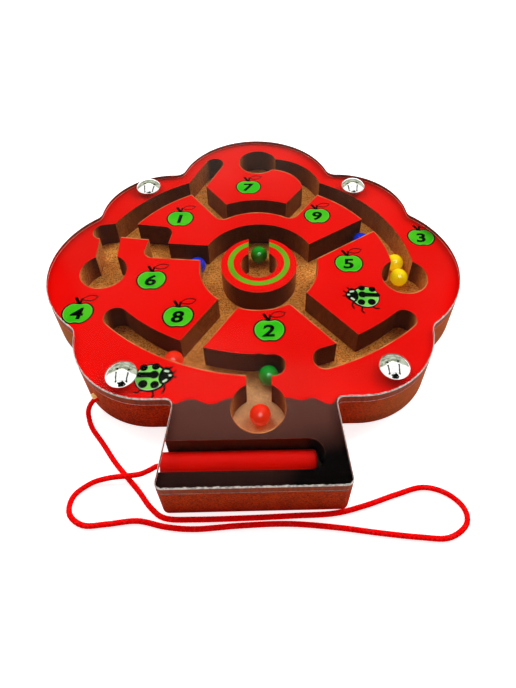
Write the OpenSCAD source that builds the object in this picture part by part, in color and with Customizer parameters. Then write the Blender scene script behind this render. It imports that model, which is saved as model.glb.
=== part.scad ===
// Magnetic maze toy in the shape of an apple tree. Balls run in channels under a
// clear cover, and a magnetic wand, tied on with a cord, parks in the trunk.
// Millimetres. The toy lies flat with its crown towards +Y and its face up.
// The origin is the middle of the board's underside.

/* [Board] */
// Width of the crown
crown_w = 181; // [177:1:200]
// Length from the top of the crown to the foot of the trunk
board_len = 197; // [195:1:215]
// Thickness of the fibreboard
board_t = 16; // [15:0.5:20]
// Radius of the top lobe of the crown
top_lobe_r = 39; // [37:0.5:41]
// Distance of each upper lobe's centre from the centre line
upper_lobe_x = 42.5; // [41:0.5:45]
// Height of the upper lobes' centres above the origin
upper_lobe_y = 35.2; // [33:0.2:37]
// Radius of each upper lobe
upper_lobe_r = 31.7; // [31:0.1:34]
// Height of the side lobes' centres above the origin
side_lobe_y = 0.8; // [-2:0.2:3]
// Radius of each side lobe
side_lobe_r = 42.4; // [41:0.2:45]
// Distance of each lower lobe's centre from the centre line
lower_lobe_x = 39; // [37:0.2:41]
// Distance of the lower lobes' centres below the origin
lower_lobe_drop = 33.6; // [32:0.2:35]
// Radius of each lower lobe
lower_lobe_r = 32.6; // [31.8:0.2:34.4]
// Radius of the hollow between two lobes
notch_r = 5; // [3:0.5:6]

/* [Trunk] */
// Width of the trunk where it leaves the crown
trunk_top_w = 58.8; // [58:0.2:64]
// Width of the trunk at its foot
trunk_foot_w = 65; // [64:0.2:72]
// Radius of the trunk's two foot corners
trunk_corner_r = 2.6; // [1.5:0.1:4]
// Radius of the hollow between trunk and crown
trunk_hollow_r = 2.6; // [1.5:0.1:4]

/* [Face] */
// Thickness of the printed sheet on the board
sheet_t = 0.2; // [0.1:0.1:0.4]
// Thickness of the clear cover
cover_t = 4; // [3:0.5:5]

/* [Maze] */
// Offset of the ring's centre to the right of the origin
maze_x = 1.4; // [0:0.2:2]
// Offset of the ring's centre above the origin
maze_y = 3.2; // [2.6:0.1:4]
// Width of the channels, which is the cutter's diameter
channel_w = 9.6; // [9:0.1:10]
// Depth of the channels below the board's face
channel_depth = 12.1; // [11:0.1:13.5]
// Outer radius of the ring in the middle
ring_r = 17; // [16.2:0.1:17.4]
// Radius of the well inside the ring
ring_well_r = 8.2; // [7:0.1:9.4]
// Radius of the round pockets at the ends of channels
pocket_r = 10.1; // [9.4:0.1:10.5]
// Radius to the middle of the channel under the top island
arch_r = 32.1; // [31.6:0.1:32.6]
// Radius to the middle of the right outer channel
right_arc_r = 64.6; // [64:0.1:65.2]
// Radius to the middle of the left outer channel
left_arc_r = 67; // [66.4:0.1:67.6]
// Radius to the middle of the lower left channel
lower_left_arc_r = 91.5; // [91:0.1:92]
// Radius to the middle of the lower right channel
lower_right_arc_r = 99.2; // [98.6:0.1:99.8]
// Radius to the middle of the channel inside the top lobe
crest_arc_r = 21.9; // [21.2:0.1:22.4]

/* [Balls] */
// Diameter of each ball
ball_d = 8; // [6:0.1:8.4]
// Gap between a resting ball and the channel's floor
ball_gap = 0.1; // [0.05:0.05:0.3]

/* [Caps and nails] */
// Diameter of each domed cap
cap_d = 12; // [10:0.5:13]
// Height of each domed cap
cap_h = 3.2; // [2.4:0.1:4.5]
// Wall of each domed cap
cap_wall = 0.5; // [0.4:0.1:0.8]
// Diameter of a nail's shank
nail_d = 2.4; // [1.6:0.1:2.6]
// Length of a nail below its head
nail_len = 14; // [10:0.5:16]
// Diameter of a nail's head
nail_head_d = 6; // [5:0.1:7]
// Thickness of a nail's head
nail_head_t = 0.8; // [0.6:0.1:1]
// Gap around a nail where it goes through the cover
nail_gap = 0.3; // [0.1:0.1:0.5]

/* [Wand] */
// Diameter of the wand
wand_d = 8; // [7:0.1:9]
// Length of the wand
wand_len = 54; // [48:0.5:56]
// Wall of the wand's tube
wand_wall = 1.1; // [0.8:0.1:1.4]
// Length of the magnet in the wand's tip
magnet_len = 12; // [6:0.5:20]
// Length of the plug in the wand's tied end
plug_len = 6; // [4:0.5:10]
// Gap around the wand in its slot
wand_gap = 1.5; // [0.7:0.1:1.8]
// Distance of the middle of the wand's slot from the foot of the trunk
slot_from_foot = 12.3; // [11.6:0.1:13]
// Gap between the wand's tip and the end of its slot
wand_tip_gap = 2.3; // [2.2:0.1:3.4]

/* [Cord] */
// Diameter of the cord
cord_d = 1.8; // [1.4:0.1:2]
// Height of the cord's hole in the side of the board
cord_hole_z = 8; // [7:0.1:9]
// Diameter of the cord's hole
cord_hole_d = 4.6; // [4.5:0.1:5]
// Depth of the cord's hole
cord_hole_depth = 9; // [6:0.5:12]
// Diameter of the peg that wedges the cord in its hole
peg_d = 2.4; // [2:0.1:2.5]
// How far the peg stands out of its hole
peg_proud = 1.2; // [0.5:0.1:2]

/* [Hidden] */
$fn = 96;

// Cuts run this much past the faces that they open
past = 1;
// Rounded corners overlap what they touch by this much, so that all is one solid
bite = 0.02;
// Levels of the stack
floor_z = board_t - channel_depth;
sheet_z = board_t;
cover_z = sheet_z + sheet_t;
top_z = cover_z + cover_t;

// Outline, measured from the origin
top_lobe = [0, board_len / 2 - top_lobe_r];
upper_lobe = [upper_lobe_x, upper_lobe_y];
side_lobe = [crown_w / 2 - side_lobe_r, side_lobe_y];
lower_lobe = [lower_lobe_x, -lower_lobe_drop];
skirt_y = lower_lobe[1] - lower_lobe_r;
foot_y = -board_len / 2;
trunk_top = [trunk_top_w / 2, skirt_y];
trunk_foot = [trunk_foot_w / 2, foot_y];

// Maze, measured from the ring's centre
ring_mid_r = ring_r + channel_w / 2;
arch_c = [-0.7, 8.2];
right_arc_c = [0.3, -3];
left_arc_c = [-5.3, -5.4];
crest_arc_c = [5.6, 53.8];
// Lowest point of the lower left channel, which stays where it is when that channel's radius changes
lower_left_low = [3.5, -53.7];
lower_left_arc_c = lower_left_low + [0, lower_left_arc_r];
lower_right_arc_c = [-3.2, 44];
arch_from = 60.2;
arch_to = 121.7;
right_arc_from = -3;
right_arc_to = 63;
left_arc_from = 114.1;
left_arc_to = 154.4;
lower_left_from = 227.1;
lower_left_to = 271.2;
lower_right_from = -73.1;
lower_right_to = -50.3;
top_pocket = [-0.5, 77.6];
left_pocket = [-68.5, -3.4];
right_pocket = [64.4, -8.3];
exit_pocket = [-0.2, -71.4];
finger_end = [-23.9, 76.1];
nook_end = [-73.4, 22.4];
left_drop_top = [-69.6, 21.7];
step_outer = [-45.8, 20.8];
step_inner = [-47.6, 9.5];
step_gate_y = 7.3;
// Angles at which three straight channels leave the ring's channel, and where they end
right_spoke_from = 14.2;
right_spoke_to = 28.9;
lower_right_spoke_from = -51;
lower_right_spoke_to = -65;
lower_left_spoke_from = 240.8;
lower_left_spoke_to = 249;

// Where the balls lie, measured from the ring's centre
green_ring_y = 14.2;
green_gate_angle = 270.1;
red_exit_rise = 1.2;
red_left_angle = 245.6;
blue_left_run = 18.9;
blue_right_run = 33.8;
yellow_upper_angle = 9.7;
yellow_lower_y = -1.6;
// How far three of the balls lean from the middle of their channels
ball_lean = (channel_w - ball_d) / 2 - 0.2;

// Caps and nails, measured from the origin
cap_upper_left_at = [-54.7, 56.8];
cap_upper_right_at = [50, 56.6];
cap_lower_left_at = [-49.5, -55.4];
cap_lower_right_at = [52.5, -53.9];
cap_spots = [cap_upper_left_at, cap_upper_right_at, cap_lower_left_at, cap_lower_right_at];
cap_rim = 0.6;
nail_tip = 2.5;

// Wand and its slot
slot_w = wand_d + 2 * wand_gap;
slot_y = foot_y + slot_from_foot;
// The wand lies against the upper wall of its slot, this much off it
wand_lean_gap = 0.6;
wand_y = slot_y + wand_gap - wand_lean_gap;
wand_z = floor_z + ball_gap + wand_d / 2;
trunk_half_at_wand = trunk_half(wand_y);
// How far the wand stands out of the trunk's side
wand_proud = 1.3;
wand_left_x = -trunk_half_at_wand - wand_proud;
wand_right_x = wand_left_x + wand_len;
slot_end_x = wand_right_x + wand_tip_gap - slot_w / 2;
bore_r = wand_d / 2 - wand_wall;
magnet_gap = 0.05;
tip_wall = 1;
// The wand's tip is cut back at 45 degrees by this much
tip_cut = 0.35 * wand_d / 2;
plug_hole_r = cord_d / 2 + 0.2;
knot_d = 4.4;
knot_len = 3.4;

// The cord's hole points at the centre of the lower left lobe
cord_hole_angle = 226.6;
cord_hole_dir = [cos(cord_hole_angle), sin(cord_hole_angle)];
cord_hole_at = [-lower_lobe[0], lower_lobe[1]] + lower_lobe_r * cord_hole_dir;
peg_lift = cord_hole_d / 2 - peg_d / 2 - 0.02;
cord_sink = cord_hole_d / 2 - cord_d / 2 - 0.12;
cord_start_depth = cord_hole_depth - 0.5;
cord_z0 = cord_hole_z - cord_sink;

// The cord's route, from inside its hole to inside the wand's plug
cord_low = cord_d / 2 + 0.05;
cord_over = cord_low + cord_d + 0.2;
cord_route = [
    concat(cord_hole_at - cord_start_depth * cord_hole_dir, cord_z0),
    concat(cord_hole_at + 0.6 * cord_hole_dir, cord_z0),
    [-64, -60.5, 4.6],
    [-64, -63, 2],
    [-62, -67, cord_low],
    [-57, -73, cord_low],
    [-51.5, -80, cord_low],
    [-46.7, -85.2, cord_low],
    [-41, -91.2, cord_low],
    [-36, -97, cord_low],
    [-30.5, -100.6, cord_low],
    [-20, -101.2, cord_low],
    [-3, -101.1, cord_low],
    [13, -100.7, cord_low],
    [27, -100.2, cord_low],
    [38, -97.8, cord_low],
    [49, -94.4, cord_low],
    [59, -92, cord_low],
    [67, -94.2, cord_low],
    [72, -99.4, cord_low],
    [71.4, -105, cord_low],
    [64.5, -109, cord_low],
    [55, -108.6, cord_low],
    [42, -107, cord_low],
    [27, -104.8, cord_low],
    [11, -103.3, cord_low],
    [-5, -103.5, cord_low],
    [-20, -104.3, cord_low],
    [-30, -103.4, cord_low],
    [-40, -101.2, cord_low],
    [-50, -102, cord_low],
    [-58, -102.2, cord_low],
    [-63.4, -98.4, cord_low],
    [-63.4, -92.4, cord_low],
    [-58, -88.2, 1.6],
    [-52, -86.8, cord_over - 0.5],
    [-46, -86.6, cord_over + 0.4],
    [-41, -86.3, cord_over + 1],
    [wand_left_x - 4.6, wand_y - 0.5, wand_z - 1.9],
    [wand_left_x - 1.3, wand_y, wand_z],
    [wand_left_x + plug_len, wand_y, wand_z]];
cord_sides = 8;

// Half the width of the trunk at height y
function trunk_half(y) =
    trunk_top[0] + (trunk_foot[0] - trunk_top[0]) * (y - trunk_top[1]) / (trunk_foot[1] - trunk_top[1]);
// The point at angle a on a circle of radius r round c
function on_arc(c, r, a) = c + r * [cos(a), sin(a)];
// The point p mirrored across the centre line
function flip(p) = [-p[0], p[1]];
// Length of the part of circle c, r that lies before the point where both circles are cut alike
function along(c1, r1, c2, r2) = (r1 * r1 - r2 * r2 + norm(c2 - c1) * norm(c2 - c1)) / (2 * norm(c2 - c1));
// The centre, on side s, of a circle of radius f that touches two circles from outside
function touch(c1, r1, c2, r2, f, s) =
    let (R = r1 + f - bite, d = (c2 - c1) / norm(c2 - c1), a = along(c1, R, c2, r2 + f - bite))
    c1 + a * d + s * sqrt(R * R - a * a) * [-d[1], d[0]];

// Fills the notch between two lobes with a hollow of radius notch_r
module notch(c1, r1, c2, r2, s) {
    f = touch(c1, r1, c2, r2, notch_r, s);
    difference() {
        polygon([c1, c2, f]);
        translate(f) circle(notch_r);
    }
}

// What lies between corner p, whose sides run along d1 and d2, and a circle of radius r in it
module corner_web(p, d1, d2, r) {
    u1 = d1 / norm(d1);
    u2 = d2 / norm(d2);
    half = acos(u1 * u2) / 2;
    mid = (u1 + u2) / norm(u1 + u2);
    centre = p + mid * r / sin(half);
    difference() {
        polygon([p - mid * past, p + u1 * r / tan(half), centre, p + u2 * r / tan(half)]);
        translate(centre) circle(r + bite);
    }
}

// One half of the crown's lobes and notches, on side s of the centre line
module half_crown(s) {
    mirror([s < 0 ? 1 : 0, 0]) {
        translate(upper_lobe) circle(upper_lobe_r);
        translate(side_lobe) circle(side_lobe_r, $fn = 144);
        translate(lower_lobe) circle(lower_lobe_r);
        notch(top_lobe, top_lobe_r, upper_lobe, upper_lobe_r, 1);
        notch(upper_lobe, upper_lobe_r, side_lobe, side_lobe_r, 1);
        notch(side_lobe, side_lobe_r, lower_lobe, lower_lobe_r, 1);
        polygon([[0, skirt_y], [lower_lobe[0], skirt_y], lower_lobe, side_lobe, upper_lobe, top_lobe]);
        corner_web(trunk_top, trunk_foot - trunk_top, [1, 0], trunk_hollow_r);
    }
}

// The trunk with its two rounded foot corners
module trunk() {
    difference() {
        polygon([[0, lower_lobe[1]], flip(trunk_top), flip(trunk_foot), trunk_foot, trunk_top]);
        corner_web(trunk_foot, trunk_top - trunk_foot, [-1, 0], trunk_corner_r);
        corner_web(flip(trunk_foot), [1, 0], flip(trunk_top - trunk_foot), trunk_corner_r);
    }
}

// The toy's whole outline
module outline() {
    translate(top_lobe) circle(top_lobe_r);
    half_crown(1);
    half_crown(-1);
    trunk();
}

// A straight channel from p to q
module run(p, q) {
    d = (q - p) / norm(q - p);
    n = [-d[1], d[0]] * channel_w / 2;
    polygon([p - n, q - n, q + n, p + n]);
}

// The round end or corner that the cutter leaves at p
module nose(p) {
    translate(p) circle(channel_w / 2 + bite);
}

// A curved channel round c from angle a to angle b
module bend(c, r, a, b) {
    far = 2 * r;
    translate(c) intersection() {
        difference() {
            circle(r + channel_w / 2, $fn = 144);
            circle(r - channel_w / 2, $fn = 144);
        }
        polygon([[0, 0], far * [cos(a), sin(a)], far * [cos((a + b) / 2), sin((a + b) / 2)], far * [cos(b), sin(b)]]);
    }
}

// A round pocket
module pocket(p) {
    translate(p) circle(pocket_r);
}

// All channels, measured from the ring's centre
module maze() {
    difference() {
        circle(ring_r + channel_w);
        circle(ring_r);
    }
    circle(ring_well_r);
    translate([-channel_w / 2, 0]) square([channel_w, ring_mid_r]);
    bend(arch_c, arch_r, arch_from, arch_to);
    bend(right_arc_c, right_arc_r, right_arc_from, right_arc_to);
    bend(left_arc_c, left_arc_r, left_arc_from, left_arc_to);
    bend(crest_arc_c, crest_arc_r, 0, 90);
    bend(lower_left_arc_c, lower_left_arc_r, lower_left_from, lower_left_to);
    bend(lower_right_arc_c, lower_right_arc_r, lower_right_from, lower_right_to);
    run(on_arc(arch_c, arch_r, arch_from), crest_arc_c + [crest_arc_r, 0]);
    run(on_arc(arch_c, arch_r, arch_to), on_arc(left_arc_c, left_arc_r, left_arc_from));
    run(crest_arc_c + [0, crest_arc_r], top_pocket);
    run(on_arc(left_arc_c, left_arc_r, left_arc_from), finger_end);
    run(on_arc(left_arc_c, left_arc_r, left_arc_to), nook_end);
    run(left_drop_top, left_pocket);
    run(on_arc(left_arc_c, left_arc_r, left_arc_to), step_outer);
    run(step_outer, step_inner);
    run(step_inner, [-ring_mid_r, step_gate_y]);
    run(on_arc([0, 0], ring_mid_r, right_spoke_from), on_arc(right_arc_c, right_arc_r, right_spoke_to));
    run(on_arc([0, 0], ring_mid_r, lower_right_spoke_from),
        on_arc(lower_right_arc_c, lower_right_arc_r, lower_right_spoke_to));
    run(on_arc([0, 0], ring_mid_r, lower_left_spoke_from),
        on_arc(lower_left_arc_c, lower_left_arc_r, lower_left_spoke_to));
    run([0, lower_left_low[1] + 0.5], exit_pocket);
    nose(on_arc(arch_c, arch_r, arch_from));
    nose(on_arc(arch_c, arch_r, arch_to));
    nose(on_arc(right_arc_c, right_arc_r, right_arc_to));
    nose(on_arc(left_arc_c, left_arc_r, left_arc_from));
    nose(on_arc(left_arc_c, left_arc_r, left_arc_to));
    nose(on_arc(lower_left_arc_c, lower_left_arc_r, lower_left_from));
    nose(on_arc(lower_left_arc_c, lower_left_arc_r, lower_left_to));
    nose(on_arc(lower_right_arc_c, lower_right_arc_r, lower_right_from));
    nose(on_arc(lower_right_arc_c, lower_right_arc_r, lower_right_to));
    nose(crest_arc_c + [crest_arc_r, 0]);
    nose(crest_arc_c + [0, crest_arc_r]);
    nose(finger_end);
    nose(nook_end);
    nose(step_outer);
    nose(step_inner);
    pocket(top_pocket);
    pocket(left_pocket);
    pocket(right_pocket);
    pocket(exit_pocket);
}

// The wand's slot, round at its inner end and open at the left side of the trunk
module wand_slot() {
    left_x = -trunk_foot[0] - past;
    translate([left_x, slot_y - slot_w / 2]) square([slot_end_x - left_x, slot_w]);
    translate([slot_end_x, slot_y]) circle(slot_w / 2 + bite);
}

// Everything that is cut into the board's face and through the sheet
module cut_outs() {
    translate([maze_x, maze_y]) maze();
    wand_slot();
}

// A cylinder of diameter d from inside the cord's hole outwards, lifted by rise
module hole_rod(d, from, to, rise) {
    translate([cord_hole_at[0], cord_hole_at[1], cord_hole_z + rise])
        rotate([0, 90, cord_hole_angle])
            translate([0, 0, from]) cylinder(d = d, h = to - from, $fn = 48);
}

module maze_board() {
    color([0.66, 0.42, 0.2]) difference() {
        linear_extrude(board_t) outline();
        translate([0, 0, floor_z]) linear_extrude(channel_depth + past) cut_outs();
        for (p = cap_spots)
            translate([p[0], p[1], cover_z + cover_t - nail_len]) cylinder(d = nail_d, h = nail_len, $fn = 32);
        hole_rod(cord_hole_d, -cord_hole_depth, past, 0);
    }
}

module face_sheet() {
    color([0.9, 0.04, 0.02]) translate([0, 0, sheet_z]) difference() {
        linear_extrude(sheet_t) outline();
        translate([0, 0, -past]) linear_extrude(sheet_t + 2 * past) cut_outs();
        for (p = cap_spots)
            translate([p[0], p[1], -past]) cylinder(d = nail_d, h = sheet_t + 2 * past, $fn = 32);
    }
}

module clear_cover() {
    color([0.85, 0.92, 0.95, 0.35]) translate([0, 0, cover_z]) difference() {
        linear_extrude(cover_t) outline();
        for (p = cap_spots)
            translate([p[0], p[1], -past]) cylinder(d = nail_d + 2 * nail_gap, h = cover_t + 2 * past, $fn = 32);
    }
}

// A hollow dome with a short upright rim, standing on the cover at p
module dome_cap(p) {
    rise = cap_h - cap_rim;
    base_r = cap_d / 2;
    dome_r = (base_r * base_r + rise * rise) / (2 * rise);
    color([0.85, 0.85, 0.87]) translate([p[0], p[1], top_z]) difference() {
        union() {
            cylinder(r = base_r, h = cap_rim);
            intersection() {
                translate([0, 0, cap_h - dome_r]) sphere(dome_r, $fn = 128);
                cylinder(r = base_r, h = cap_h + past);
            }
        }
        translate([0, 0, -past]) cylinder(r = base_r - cap_wall, h = cap_rim + past);
        intersection() {
            translate([0, 0, cap_h - dome_r]) sphere(dome_r - cap_wall, $fn = 128);
            cylinder(r = base_r - cap_wall, h = cap_h);
        }
    }
}

// A pointed nail whose flat head presses the cover down at p
module cap_nail(p) {
    r = nail_d / 2;
    color([0.6, 0.6, 0.62]) translate([p[0], p[1], top_z])
        rotate_extrude($fn = 32)
            polygon([[0, -nail_len], [r, nail_tip - nail_len], [r, 0], [nail_head_d / 2, 0],
                     [nail_head_d / 2, nail_head_t], [0, nail_head_t]]);
}

// A ball that rests in a channel at p, measured from the ring's centre
module maze_ball(p, tint) {
    color(tint) translate([maze_x + p[0], maze_y + p[1], floor_z + ball_gap + ball_d / 2])
        sphere(d = ball_d, $fn = 64);
}

// Where the two blue balls' straight channels start, and their directions
gate_dir = ([-ring_mid_r, step_gate_y] - step_inner) / norm([-ring_mid_r, step_gate_y] - step_inner);
spoke_start = on_arc([0, 0], ring_mid_r, right_spoke_from);
spoke_end = on_arc(right_arc_c, right_arc_r, right_spoke_to);
spoke_dir = (spoke_end - spoke_start) / norm(spoke_end - spoke_start);

// A rod along the wand's axis from x = a to x = b
module wand_rod(d, a, b) {
    translate([a, wand_y, wand_z]) rotate([0, 90, 0]) cylinder(d = d, h = b - a, $fn = 64);
}

module wand_tube() {
    inner_end = wand_len - tip_wall;
    color([0.8, 0.02, 0.02]) translate([wand_left_x, wand_y, wand_z]) rotate([0, 90, 0])
        rotate_extrude($fn = 64)
            polygon([[bore_r, 0], [wand_d / 2, 0], [wand_d / 2, wand_len - tip_cut], [wand_d / 2 - tip_cut, wand_len],
                     [0, wand_len], [0, inner_end], [bore_r, inner_end]]);
}

module wand_magnet() {
    color([0.3, 0.3, 0.32])
        wand_rod(2 * (bore_r - magnet_gap), wand_right_x - tip_wall - magnet_len, wand_right_x - tip_wall);
}

module wand_plug() {
    color([0.7, 0.02, 0.02]) difference() {
        wand_rod(2 * bore_r, wand_left_x, wand_left_x + plug_len);
        wand_rod(2 * plug_hole_r, wand_left_x - past, wand_left_x + plug_len + past);
    }
}

module cord_knot() {
    color([0.85, 0.02, 0.02]) translate([wand_left_x + plug_len + 0.1, wand_y, wand_z]) rotate([0, 90, 0])
        rotate_extrude($fn = 32)
            polygon([[0, 0], [knot_d * 0.36, 0], [knot_d / 2, knot_len * 0.28], [knot_d / 2, knot_len * 0.66],
                     [knot_d * 0.33, knot_len], [0, knot_len]]);
}

module cord_peg() {
    color([0.9, 0.75, 0.45]) hole_rod(peg_d, -cord_hole_depth, peg_proud, peg_lift);
}

// A smooth curve through the route's points, with one added point half way along each span
function mid_point(i) =
    let (n = len(cord_route), a = cord_route[max(i - 1, 0)], b = cord_route[i],
         c = cord_route[i + 1], d = cord_route[min(i + 2, n - 1)])
    (9 * (b + c) - a - d) / 16;
cord_path = [for (i = [0 : 2 * len(cord_route) - 2]) i % 2 == 0 ? cord_route[i / 2] : mid_point((i - 1) / 2)];

// A level direction square to the path at point i, and the direction square to both
function heading(i) =
    let (n = len(cord_path), d = cord_path[min(i + 1, n - 1)] - cord_path[max(i - 1, 0)]) d / norm(d);
function across(i) = let (t = heading(i), s = cross([0, 0, 1], t)) s / norm(s);
function ring_at(i) =
    let (s = across(i), u = cross(heading(i), s))
    [for (k = [0 : cord_sides - 1])
        cord_path[i] + cord_d / 2 * (cos(360 * k / cord_sides) * s + sin(360 * k / cord_sides) * u)];

module cord() {
    n = len(cord_path);
    points = [for (i = [0 : n - 1]) each ring_at(i)];
    sides = [for (i = [0 : n - 2], k = [0 : cord_sides - 1], half = [0, 1])
        let (a = i * cord_sides + k, b = i * cord_sides + (k + 1) % cord_sides)
        half == 0 ? [a, b, b + cord_sides] : [a, b + cord_sides, a + cord_sides]];
    ends = [for (k = [1 : cord_sides - 2]) [0, k + 1, k],
            for (k = [1 : cord_sides - 2]) [(n - 1) * cord_sides, (n - 1) * cord_sides + k, (n - 1) * cord_sides + k + 1]];
    color([0.85, 0.02, 0.02]) polyhedron(points, concat(sides, ends));
}

maze_board();
face_sheet();
clear_cover();
dome_cap(cap_upper_left_at);  // cap_upper_left
dome_cap(cap_upper_right_at);  // cap_upper_right
dome_cap(cap_lower_left_at);  // cap_lower_left
dome_cap(cap_lower_right_at);  // cap_lower_right
cap_nail(cap_upper_left_at);  // nail_upper_left
cap_nail(cap_upper_right_at);  // nail_upper_right
cap_nail(cap_lower_left_at);  // nail_lower_left
cap_nail(cap_lower_right_at);  // nail_lower_right
maze_ball([0, green_ring_y], "green");  // ball_green_ring
maze_ball(on_arc(lower_left_arc_c, lower_left_arc_r - ball_lean, green_gate_angle), "green");  // ball_green_gate
maze_ball(exit_pocket + [0.5, red_exit_rise], "red");  // ball_red_exit
maze_ball(on_arc(lower_left_arc_c, lower_left_arc_r, red_left_angle), "red");  // ball_red_left
maze_ball(step_inner + blue_left_run * gate_dir + ball_lean * [gate_dir[1], -gate_dir[0]], "blue");  // ball_blue_left
maze_ball(spoke_start + blue_right_run * spoke_dir + ball_lean * [spoke_dir[1], -spoke_dir[0]], "blue");  // ball_blue_right
maze_ball(on_arc(right_arc_c, right_arc_r, yellow_upper_angle), "yellow");  // ball_yellow_upper
maze_ball([right_pocket[0], yellow_lower_y], "yellow");  // ball_yellow_lower
wand_tube();
wand_magnet();
wand_plug();
cord_peg();
cord_knot();
cord();
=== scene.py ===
"""Dressed model of a magnetic maze toy: fibreboard tree, printed face, clear cover, balls, wand and cord."""

import math

import bmesh
import bpy
import numpy as np
from mathutils import Matrix, Vector
from mathutils.geometry import delaunay_2d_cdt


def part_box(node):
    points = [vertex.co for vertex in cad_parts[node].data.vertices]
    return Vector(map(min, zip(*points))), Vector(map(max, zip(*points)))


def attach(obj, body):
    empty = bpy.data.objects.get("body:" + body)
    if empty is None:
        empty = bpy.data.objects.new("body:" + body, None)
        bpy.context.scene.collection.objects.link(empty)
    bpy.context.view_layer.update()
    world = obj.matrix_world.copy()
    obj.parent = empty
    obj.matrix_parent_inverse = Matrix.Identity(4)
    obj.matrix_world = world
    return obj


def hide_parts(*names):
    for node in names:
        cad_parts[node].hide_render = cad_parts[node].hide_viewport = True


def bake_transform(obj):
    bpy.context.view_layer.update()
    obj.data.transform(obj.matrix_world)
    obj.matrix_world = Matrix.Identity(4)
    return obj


bl_info = {
    "name": "Magnetic maze toy",
    "version": (1, 0, 0),
    "blender": (4, 5, 0),
    "location": "View3D > Sidebar > Maze toy",
    "description": "Builds the dressed pieces of a magnetic maze toy around its packed frame",
    "category": "Object",
}

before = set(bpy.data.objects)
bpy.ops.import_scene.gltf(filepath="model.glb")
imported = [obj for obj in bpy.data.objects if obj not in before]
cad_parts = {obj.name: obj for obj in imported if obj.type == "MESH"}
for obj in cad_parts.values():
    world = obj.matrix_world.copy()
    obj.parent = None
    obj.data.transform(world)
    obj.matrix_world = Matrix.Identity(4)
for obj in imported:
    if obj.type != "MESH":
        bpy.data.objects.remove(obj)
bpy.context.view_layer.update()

MM = 0.001

# Heights in millimetres, as in the part's source; the sheet stops a hair under the cover
FLOOR_Z = 3.9
HOLE_Z = 8.0
BOARD_TOP = 16.0
SHEET_TOP = 16.16
COVER_LOW = 16.2
COVER_TOP = 20.2

# Plan sizes in millimetres, as in the part's source: the ring with its well, then the channels
RING = np.array([1.4, 3.2])
RING_IN = 17.0
RING_OUT = 26.6
RING_LANE = 21.8
WELL_R = 8.2
CHANNEL_HALF = 4.8
POCKET_R = 10.1

# The outline: the lobes from the top down the right side, the hollows between them, and the trunk
LOBES = [((0, 59.5), 39.0), ((42.5, 35.2), 31.7), ((48.1, 0.8), 42.4), ((39.0, -33.6), 32.6)]
NOTCH_R = 5.0
CORNER_R = 2.6
TRUNK_TOP = np.array([29.4, -66.2])
TRUNK_FOOT = np.array([32.5, -98.5])

# The wand's slot, the fixings under the domed caps, and the cord's hole with its turn in degrees
SLOT_Y = -86.2
SLOT_HALF = 5.5
SLOT_END = 18.267
CAPS = {
    "upper_left": (-54.7, 56.8), "upper_right": (50.0, 56.6),
    "lower_left": (-49.5, -55.4), "lower_right": (52.5, -53.9),
}
NAIL_HOLE_R = 1.5
HOLE_AT = np.array([-61.4, -57.287])
HOLE_TURN = 226.6
HOLE_OUT = np.array([math.cos(math.radians(HOLE_TURN)), math.sin(math.radians(HOLE_TURN)), 0])
HOLE_R = 2.3
HOLE_DEPTH = 9.0

# The cord's route in millimetres, with the same points as in the part's source: how far inside the hole it
# starts and how high, then over the ground, where its middle lies at one height, and up into the wand
ROUTE_START = (8.5, 6.72)
LIES_AT = 0.95
ROUTE = [
    (-64, -60.5, 4.6), (-64, -63, 2),
    *[(x, y, LIES_AT) for x, y in (
        (-62, -67), (-57, -73), (-51.5, -80), (-46.7, -85.2), (-41, -91.2), (-36, -97), (-30.5, -100.6),
        (-20, -101.2), (-3, -101.1), (13, -100.7), (27, -100.2), (38, -97.8), (49, -94.4), (59, -92),
        (67, -94.2), (72, -99.4), (71.4, -105), (64.5, -109), (55, -108.6), (42, -107), (27, -104.8),
        (11, -103.3), (-5, -103.5), (-20, -104.3), (-30, -103.4), (-40, -101.2), (-50, -102),
        (-58, -102.2), (-63.4, -98.4), (-63.4, -92.4),
    )],
    (-58, -88.2, 1.6), (-52, -86.8, 2.45), (-46, -86.6, 3.35), (-41, -86.3, 3.95),
    (-37.133, -85.8, 6.1), (-33.833, -85.3, 8), (-26.533, -85.3, 8),
]
CORD_R = 0.97
STRANDS = 4

# The photograph's camera: its place in metres, its turn about X, Y and Z in degrees, and its lens
CAMERA_AT = (0.00377, -0.167641, 0.192469)
CAMERA_TURN = (43.2287, -0.7758, -1.5819)
LENS = 28.418
LENS_SHIFT = (-0.0318, -0.1003)

# The spacing of points on the plan's curves, and the angle in degrees past which an edge is sharp
FINE = 0.45
CREASE = 35


# Plan shapes


def arc(centre, radius, start, stop, step=FINE):
    """Points of a circle round centre: angle runs evenly from start to stop, in degrees, about step apart."""
    turn = math.radians(stop - start)
    count = max(6, int(abs(turn) * radius / step) + 2)
    angle = math.radians(start) + turn * np.linspace(0, 1, count)
    return np.asarray(centre, float) + radius * np.stack([np.cos(angle), np.sin(angle)], 1)


def disc(centre, radius, step=FINE):
    """A closed circle as a loop of points."""
    return arc(centre, radius, 0, 360, step)[:-1]


def on_arc(centre, radius, angle):
    """The point of a circle at an angle in degrees."""
    turn = math.radians(angle)
    return np.asarray(centre, float) + radius * np.array([math.cos(turn), math.sin(turn)])


def bearing(vector):
    """Angle of a plan vector in degrees."""
    return math.degrees(math.atan2(vector[1], vector[0]))


def short_arc(centre, radius, first, last):
    """The shorter way round a circle from the direction of one point to that of another."""
    start = bearing(np.asarray(first) - centre)
    turn = (bearing(np.asarray(last) - centre) - start + 180) % 360 - 180
    return arc(centre, radius, start, start + turn)


def straight(first, last):
    """Points evenly spread from first to last."""
    first, last = np.asarray(first, float), np.asarray(last, float)
    count = max(2, int(np.linalg.norm(last - first) / FINE) + 1)
    return first + (last - first) * np.linspace(0, 1, count)[:, None]


def unit(vectors):
    """Each row of a table made one long."""
    return vectors / np.linalg.norm(vectors, axis=1, keepdims=True)


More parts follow.
